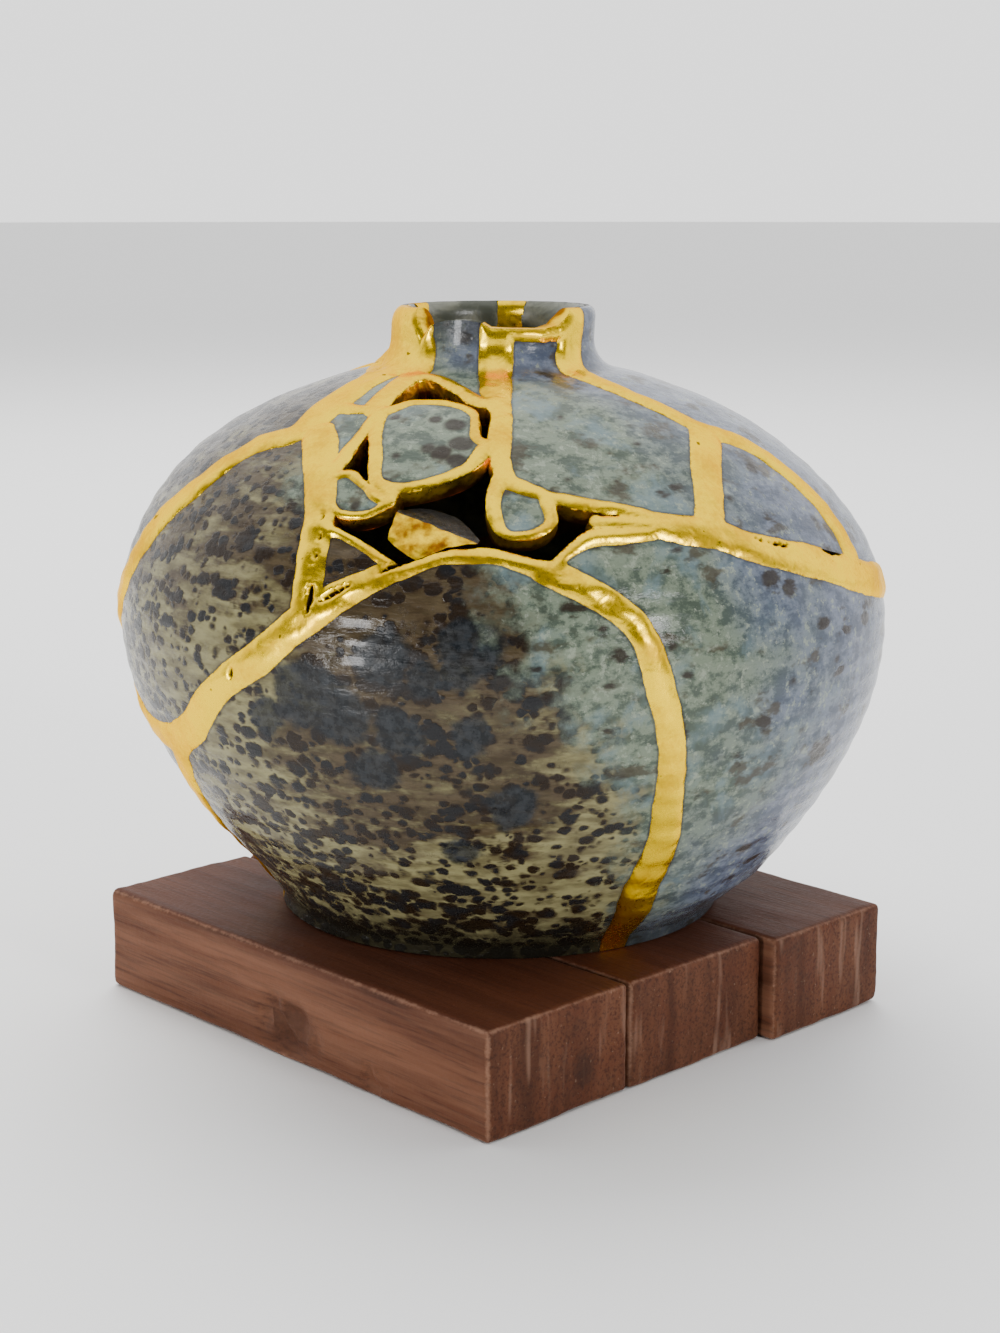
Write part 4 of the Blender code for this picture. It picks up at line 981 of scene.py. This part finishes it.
class Glaze(Finish):
    """Glossy stoneware glaze, with the places and unevenness that its colours share."""

    def __init__(self, look, wall):
        super().__init__("oil_spot_glaze", Specular_IOR_Level=0.16, Coat_Weight=0.12, Coat_Roughness=0.08)
        self.look, self.wall = look, wall
        self.spot = self.place((*VASE_CENTRE, FOOT_LEVEL))
        x, y, z = (self.axis(self.spot, name) for name in "XYZ")
        self.angle = self.calc("ARCTAN2", y, x) * (180 / math.pi)
        self.height = z / VASE_HEIGHT * 100
        self.wander = self.noise(self.spot, 34, 3) - 0.5
        self.ragged = self.noise(self.spot, 9, 5, 0.62) - 0.5
        self.fine = self.noise(self.spot, 2.2, 4, 0.65)
        self.flow = self.stretch(self.spot, 1, 1, 3.2)
        self.bands = (self.noise(self.flow, 15, 4, 0.6) + (self.fine - 0.5) * 0.1).fade(0.36, 0.64)
        self.streaks = self.noise(self.stretch(self.spot, 1, 1, 5), 9, 4, 0.65)
        self.low_flow = self.stretch(self.spot, 1, 1, 1.7)
        self.marble = self.noise(self.low_flow, 7, 8, 0.7) * 0.65 + self.noise(self.spot, 3, 6, 0.72) * 0.35
        self.crust = (self.noise(self.spot, 1.9, 5, 0.72) + (self.marble - 0.5) * 0.8).fade(0.56, 0.66)
        self.middle = 1 - self.calc("ABSOLUTE", self.angle + 54).fade(12, 26)
        self.foot = (self.height + self.ragged * 14).fade(9, 2)
        warp = self.stretch(self.noise(self.spot, 2.2, 1, 0.5, out=1), 1.3, 1.3, 1.3)
        self.bent = self.stretch(self.vector("ADD", self.spot, warp), 1, 1, 1.15)

    def patches(self, table, soft, ragged):
        """Round patches given by angle, height and radius, with ragged soft edges."""
        found = []
        for turn, share, radius in table:
            centre = self.wall.outside(math.radians(turn), float(self.wall.at_height(share)))
            centre = tuple(np.ravel(centre) - (*VASE_CENTRE, FOOT_LEVEL))
            gap = self.distance(self.spot, centre) + ragged
            found.append(gap.fade(radius + soft, radius - soft))
        return functools.reduce(Value.larger, found)

    def cells(self, size):
        """Distance to the nearest of scattered points, and a number that differs from point to point."""
        values = {"Vector": self.bent, "Scale": 1 / size, "Randomness": 1.0}
        gap = self.add("ShaderNodeTexVoronoi", None, values, "Distance")
        return gap, self.axis(self.add("ShaderNodeTexVoronoi", None, values, "Color"), "X")

    def spots(self):
        """Oil spots of three sizes and the halos round them, crowded in bands and low down."""
        crowd = self.bands * 0.24 + self.height.fade(36, 8) * 0.1
        crowd = crowd + (self.noise(self.spot, 16, 1) - 0.5) * 0.42
        crowd = crowd + (self.angle + self.wander * 30).fade(-66, -84) * 0.06
        crowd = crowd + self.middle * self.height.fade(20, 44) * 0.1
        cores, halos = [], []
        for size, reach in SPOT_LAYERS:
            gap, chance = self.cells(size)
            edge = (crowd + reach) * (chance * 1.1 + 0.4)
            cores.append((edge - gap).fade(-0.04, 0.07))
            halos.append((edge - gap).fade(-0.15, 0.02))
        return functools.reduce(Value.larger, cores), functools.reduce(Value.larger, halos)

    def olive(self, core, halo, blotch):
        """Olive ground with brown bands and streaks, oil spots and slate blotches."""
        look, height = self.look, self.height
        ground = self.blend(self.noise(self.flow, 8, 4).fade(0.36, 0.66), look.olive_light, look.olive_dark)
        brown = self.bands * 0.42 + self.middle * height.fade(14, 34) * 0.5 + height.fade(50, 70) * 0.42
        brown = (brown + self.ragged * 0.5 + self.streaks * 0.5).fade(0.46, 0.9)
        browns = self.blend(self.streaks.fade(0.4, 0.62), look.brown, look.brown_light)
        colour = self.blend(brown * 0.92, ground, browns)
        colour = self.blend(halo * 0.75, colour, look.brown)
        tint = self.noise(self.spot, 7, 2).fade(0.4, 0.6)
        colour = self.blend(core * 0.94, colour, self.blend(tint, look.spot, look.brown_spot))
        colour = self.blend(blotch * 0.88, colour, self.blend(self.fine.fade(0.35, 0.68), *SLATE))
        return self.blend(self.foot * 0.88, colour, OLIVE_FOOT)

    def cool(self, blue):
        """Marbled grey-green, going over into slate blue, with crust, rust, freckles and a dark lip."""
        look, marble = self.look, self.marble
        teal = self.blend(marble.fade(0.44, 0.54), look.teal_dark, look.teal)
        teal = self.blend(self.noise(self.spot, 15, 4, 0.6, 0.4).fade(0.5, 0.66) * 0.7, teal, VEIL)
        slate_blue = self.blend(marble.fade(0.43, 0.57), look.blue, look.blue_light)
        colour = self.blend(blue, teal, slate_blue)
        colour = self.blend(self.crust * 0.6, colour, CRUST)
        rust = (self.noise(self.low_flow, 12, 4, 0.6) + self.ragged * 0.15).fade(0.56, 0.66)
        colour = self.blend(rust * 0.8, colour, look.rust)
        gap, chance = self.cells(FRECKLE_SPACING)
        freckles = self.bands * 0.3 * (chance * 1.1 + 0.4) - gap + (blue - 1) * 0.12 + 0.08
        freckles = freckles.fade(-0.1, 0.1).larger(self.patches(FRECKLES, 0.8, self.ragged * 3))
        colour = self.blend(freckles * 0.92, colour, FRECKLE)
        lip = self.height.fade(93, 97) * (1 - self.angle.fade(0, 20))
        colour = self.blend(lip * 0.75, colour, LIP_SHADE)
        return self.blend(self.foot * 0.6, colour, COOL_FOOT)


def glaze_finish(look, wall):
    """The glaze: olive with oil spots at the left, teal and then slate blue towards the right."""
    glaze = Glaze(look, wall)
    angle, height, wander, ragged = glaze.angle, glaze.height, glaze.wander, glaze.ragged
    border = -10 - height * 0.55 - height.fade(64, 76) * 30
    turned = angle + wander * 26 + ragged * 30
    teal = (turned - border).fade(-5, 6) * (1 - (angle + wander * 40).fade(104, 128))
    blue = (angle + wander * 60 + ragged * 16 + height.fade(86, 93) * 70).fade(-24, 12)
    core, halo = glaze.spots()
    blotch = glaze.patches(BLOTCHES, 1.2, ragged * 9 + (glaze.fine - 0.5) * 3)
    colour = glaze.blend(teal, glaze.olive(core, halo, blotch), glaze.cool(blue))
    colour = glaze.blend(glaze.mark("rim").fade(0.55, 0.1) * 0.5, colour, SEAM_LINE)
    dark = core.larger(blotch) * (1 - teal)
    glaze.feed(Base_Color=colour, Roughness=0.13 + glaze.fine * 0.2 + dark * 0.05)
    swells = glaze.bump(glaze.noise(glaze.flow, 7, 3, 0.5), 0.5, 0.7)
    ripples = glaze.fine * glaze.bands.larger(glaze.crust) + dark * 0.35 + glaze.streaks * 0.5
    ripples = glaze.bump(ripples, 0.24, 0.75, swells)
    glaze.feed(Normal=glaze.bump(glaze.noise(glaze.spot, 0.5, 2), 0.02, 0.5, ripples))
    return glaze.material


def inside_finish():
    """Thin grey-green glaze inside the pot."""
    grey = Finish("inside_glaze")
    place = grey.place()
    cloud = grey.noise(place, 9, 5, 0.62, 0.8)
    waves = grey.noise(place, 3, 3)
    grey.feed(Base_Color=grey.blend(cloud.fade(0.38, 0.62), *INSIDE), Roughness=0.2 + waves * 0.25)
    grey.feed(Normal=grey.bump(waves, 0.3, 0.6))
    return grey.material


def break_finish():
    """The bare dark clay of a broken edge, vitrified and glinting."""
    clay = Finish("broken_edge")
    grit = clay.noise(clay.place(), 1.4, 5, 0.7)
    clay.feed(Base_Color=clay.blend(grit.fade(0.4, 0.65), *BROKEN))
    clay.feed(Roughness=0.18 + grit * 0.3, Normal=clay.bump(grit, 0.5, 0.9))
    return clay.material


def wood_finish(look, name):
    """Stained walnut-like wood: grain along it, growth bands and pale specks on the end, worn edges."""
    wood = Finish("wood_" + name, Specular_IOR_Level=0.15)
    low, high = ([value / MM for value in corner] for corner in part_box(name))
    place = wood.place()
    shift = float(sum(ord(letter) for letter in name) % 97)
    moved = wood.vector("ADD", place, (shift * 3, shift, shift * 2))
    along = wood.stretch(moved, 0.07, 1, 1)
    rings = wood.noise(wood.stretch(moved, 0.02, 1, 0.16), 7, 3, 0.55, 0.5)
    fibre = wood.noise(wood.stretch(moved, 0.035, 1, 1), 0.8, 4, 0.65)
    cloud = wood.noise(along, 12, 4, 0.6, 0.4)
    speck = wood.noise(place, 1.3, 4, 0.7)
    bands = wood.noise(wood.stretch(moved, 0.02, 1, 0.13), 4.2, 2, 0.5)
    x, y, z = (wood.axis(place, axis) for axis in "XYZ")
    length, width, height = ((a - l).smaller(h - a) for a, l, h in zip((x, y, z), low, high))
    near = length.larger(width).smaller(length.larger(height)).smaller(width.larger(height))
    worn = (speck * 2.2 + wood.noise(place, 14, 2) * 1.2 - near * 1.15).fade(0.4, 1.5)
    top = (high[2] - z).fade(1.2, 0.2)
    end = length.fade(1.2, 0.3)
    side = 1 - top.larger(end)
    colour = wood.blend(rings.fade(0.28, 0.7), look.wood_dark, look.wood)
    layers = [
        (cloud.fade(0.42, 0.68) * 0.5, look.wood_red),
        (fibre.fade(0.46, 0.66) * 0.65, FIBRE),
        # The top face is made darker and a little glossier than the sides.
        (top * 0.5, DARK_TOP_FACE),
        (end * bands.fade(0.56, 0.7) * 0.5, END_BAND),
        (end * speck.fade(0.62, 0.75) * 0.5, END_SPECK),
        (side * wood.noise(along, 5, 4, 0.6).fade(0.3, 0.75) * 0.42, SIDE_GRAIN),
        (worn * 0.42, WORN_WOOD),
    ]
    if name == BOARDS[0]:
        heart = wood.distance(wood.stretch(place, 1, 1.2, 1), (high[0], END_KNOT[0] * 1.2, END_KNOT[1]))
        layers.append(((heart + speck * 9 + cloud * 7).fade(15, 9) * 0.7, KNOT_HEART))
        torn = wood.distance(wood.stretch(place, 0.67, 1, 1), (KNOT[0] * 0.67, low[1], KNOT[1]))
        layers.append(((torn + speck * 9).fade(14, 6) * side * 0.6, TORN_GRAIN))
    for share, shade in layers:
        colour = wood.blend(share, colour, shade)
    wood.feed(Base_Color=colour, Roughness=0.5 + speck * 0.25 - top * 0.06 + worn * 0.1)
    wood.feed(Normal=wood.bump(speck, 0.18, 0.6, wood.bump(fibre, 0.16, 0.8)))
    return wood.material


def build_floor(look):
    """A wide pale floor under the stand."""
    form = bmesh.new()
    bmesh.ops.create_circle(form, cap_ends=True, segments=96, radius=look.floor_radius)
    mesh = bpy.data.meshes.new("floor")
    form.to_mesh(mesh)
    form.free()
    floor = add_object("floor", mesh)
    pale = Finish("pale_floor", Base_Color=(0.86, 0.86, 0.86, 1))
    pale.feed(Roughness=0.55 + pale.noise(pale.place(), 40, 3) * 0.15)
    mesh.materials.append(pale.material)


def aim(name, data, location, away):
    """An object turned to look back along the direction in which it stands away from the vase."""
    holder = add_object(name, data)
    holder.location = location
    holder.rotation_mode = "QUATERNION"
    holder.rotation_quaternion = away.to_track_quat("Z", "Y")
    return holder


def softbox(name, azimuth, elevation, distance, size, power, mirrored):
    """An area light on the middle of the vase; where not mirrored, no gloss shows it."""
    lamp = bpy.data.lights.new(name, "AREA")
    lamp.shape = "RECTANGLE"
    lamp.size, lamp.size_y = size
    lamp.energy = power
    a, e = math.radians(azimuth), math.radians(elevation)
    away = Vector((math.cos(a) * math.cos(e), math.sin(a) * math.cos(e), math.sin(e)))
    aim(name, lamp, Vector(AIM) * MM + away * distance, away).visible_glossy = mirrored


def build_camera():
    """The camera of the photograph."""
    camera = bpy.data.cameras.new("camera")
    camera.lens = LENS
    camera.sensor_fit = "VERTICAL"
    camera.sensor_height = SENSOR
    camera.sensor_width = SENSOR
    camera.clip_start, camera.clip_end = 0.01, 100.0
    a, e = CAMERA_AZIMUTH, CAMERA_ELEVATION
    away = Vector((math.sin(a) * math.cos(e), -math.cos(a) * math.cos(e), math.sin(e)))
    location = (Vector(AIM) + away * CAMERA_DISTANCE) * MM
    bpy.context.scene.camera = aim("camera", camera, location, away)


def build_sky(look):
    """A pale studio tent, with a duller band near the horizon on the camera's side."""
    world = bpy.data.worlds.new("studio")
    world.use_nodes = True
    sky = Nodes(world.node_tree)
    spot = sky.add("ShaderNodeTexCoord", None, None, "Generated")
    parts = [sky.vector("DOT_PRODUCT", spot, direction, out="Value").fade(low, high)
             for direction, low, high in DULL_BAND]
    values = {"Value": functools.reduce(Value.__mul__, parts), "To Min": look.sky,
              "To Max": look.sky * look.dull_side}
    level = sky.add("ShaderNodeMapRange", None, values)
    background = sky.tree.nodes["Background"]
    background.inputs["Color"].default_value = (1, 1, 1, 1)
    sky.tree.links.new(level.link, background.inputs["Strength"])
    bpy.context.scene.world = world


def swatch(name, description, value):
    return bpy.props.FloatVectorProperty(name=name, description=description, default=value, subtype="COLOR",
                                         min=0.0, max=1.0)


def number(name, description, value, **more):
    return bpy.props.FloatProperty(name=name, description=description, default=value, **more)


class VaseLook(bpy.types.PropertyGroup):
    """Sizes and colours of the finishes."""

    lumps: number("Gold Lumps", "Lumpiness of the gold in the gaps", 1.0)
    ragged: number("Ragged Edge", "Unevenness of the gold's edge, in millimetres", 0.3)
    gold_colour: swatch("Gold", "Polished gold", (1.0, 0.67, 0.0))
    gold_shade: swatch("Thin Gold", "Gold where it lies thin over the lacquer", (0.78, 0.45, 0.0))
    olive_light: swatch("Olive", "Lighter olive ground", (0.225, 0.205, 0.098))
    olive_dark: swatch("Dark Olive", "Darker olive ground", (0.115, 0.098, 0.046))
    brown: swatch("Brown", "Brown bands in the olive glaze", (0.032, 0.020, 0.010))
    brown_light: swatch("Light Brown", "Lighter streaks in the brown", (0.060, 0.041, 0.023))
    spot: swatch("Oil Spot", "Slate-black oil spots", (0.009, 0.010, 0.012))
    brown_spot: swatch("Brown Spot", "Dark brown oil spots", (0.014, 0.008, 0.004))
    teal: swatch("Teal", "Grey-green ground", (0.160, 0.195, 0.140))
    teal_dark: swatch("Dark Teal", "Darker marbling of the grey-green", (0.060, 0.080, 0.060))
    blue: swatch("Slate Blue", "Blue-grey ground", (0.066, 0.082, 0.122))
    blue_light: swatch("Pale Blue", "Paler violet-blue veil", (0.140, 0.165, 0.225))
    rust: swatch("Rust", "Olive-brown patches in the grey-green and blue", (0.045, 0.034, 0.018))
    wood: swatch("Wood", "Lighter growth of the stained wood", (0.13, 0.047, 0.022))
    wood_dark: swatch("Dark Wood", "Darker growth of the stained wood", (0.062, 0.020, 0.009))
    wood_red: swatch("Wood Stain", "Redder stain in the wood", (0.10, 0.028, 0.012))
    edge_wear: number("Edge Wear", "Rounding of the boards' edges, against the usual", 1.0)
    floor_radius: number("Floor Radius", "Radius of the floor", 14.0, unit="LENGTH")
    sky: number("Sky", "Brightness of the studio tent", 1.8)
    dull_side: number("Dull Side", "Share of the tent's brightness low down on the camera's side", 0.07,
                      subtype="FACTOR")


class Studio:
    """What the operators share: the wall, its grid and the distance to the gold lines."""

    def __init__(self, look):
        self.wall = Wall()
        self.grid = Grid(self.wall)
        self.uneven = uneven = Unevenness(SEED)
        places = self.grid.places
        ragged = 0.55 * uneven(places, 2.2) + 0.3 * uneven(places + 50, 1.3) + 0.5 * uneven(places, 7)
        self.field = self.grid.distance(SEAMS.values()) + look.ragged * ragged


studios = {}


def studio():
    """What the operators share, worked out once for each raggedness of the gold's edge."""
    look = bpy.context.scene.vase_look
    if look.ragged not in studios:
        studios[look.ragged] = Studio(look)
    return studios[look.ragged]


class VASE_OT_gold(bpy.types.Operator):
    """Build the raised gold network"""

    bl_idname = "vase.gold"
    bl_label = "Gold Network"

    def execute(self, context):
        build_gold(studio(), context.scene.vase_look)
        return {"FINISHED"}


class VASE_OT_sherds(bpy.types.Operator):
    """Build the glazed sherds"""

    bl_idname = "vase.sherds"
    bl_label = "Glazed Sherds"

    def execute(self, context):
        room = studio()
        look = context.scene.vase_look
        finishes = (glaze_finish(look, room.wall), inside_finish(), break_finish())
        for name in SHERDS:
            build_sherd(name, room, finishes)
        build_tipped_sherd(room, (break_finish(), gold_finish(look, inner=True)))
        return {"FINISHED"}


class VASE_OT_stand(bpy.types.Operator):
    """Build the three boards of the stand"""

    bl_idname = "vase.stand"
    bl_label = "Stand"

    def execute(self, context):
        for name in BOARDS:
            build_board(name, studio().uneven, context.scene.vase_look)
        return {"FINISHED"}


class VASE_OT_stage(bpy.types.Operator):
    """Set up floor, lights, sky and camera"""

    bl_idname = "vase.stage"
    bl_label = "Stage"

    def execute(self, context):
        look = context.scene.vase_look
        build_floor(look)
        build_sky(look)
        for name, values in SOFTBOXES.items():
            softbox(name, *values)
        build_camera()
        return {"FINISHED"}


class VASE_PT_sidebar(bpy.types.Panel):
    """Sizes, colours and the steps that build the vase"""

    bl_label = "Mended Vase"
    bl_idname = "VASE_PT_sidebar"
    bl_space_type = "VIEW_3D"
    bl_region_type = "UI"
    bl_category = "Mended Vase"

    def draw(self, context):
        look = context.scene.vase_look
        for name in VaseLook.__annotations__:
            self.layout.prop(look, name)
        for operator in OPERATORS:
            self.layout.operator(operator.bl_idname)


OPERATORS = (VASE_OT_gold, VASE_OT_sherds, VASE_OT_stand, VASE_OT_stage)
CLASSES = (VaseLook, *OPERATORS, VASE_PT_sidebar)


def register():
    for kind in CLASSES:
        bpy.utils.register_class(kind)
    bpy.types.Scene.vase_look = bpy.props.PointerProperty(type=VaseLook)


def unregister():
    del bpy.types.Scene.vase_look
    for kind in reversed(CLASSES):
        bpy.utils.unregister_class(kind)


def main():
    register()
    bpy.ops.vase.gold()
    bpy.ops.vase.sherds()
    bpy.ops.vase.stand()
    bpy.ops.vase.stage()


if __name__ == "__main__":
    main()
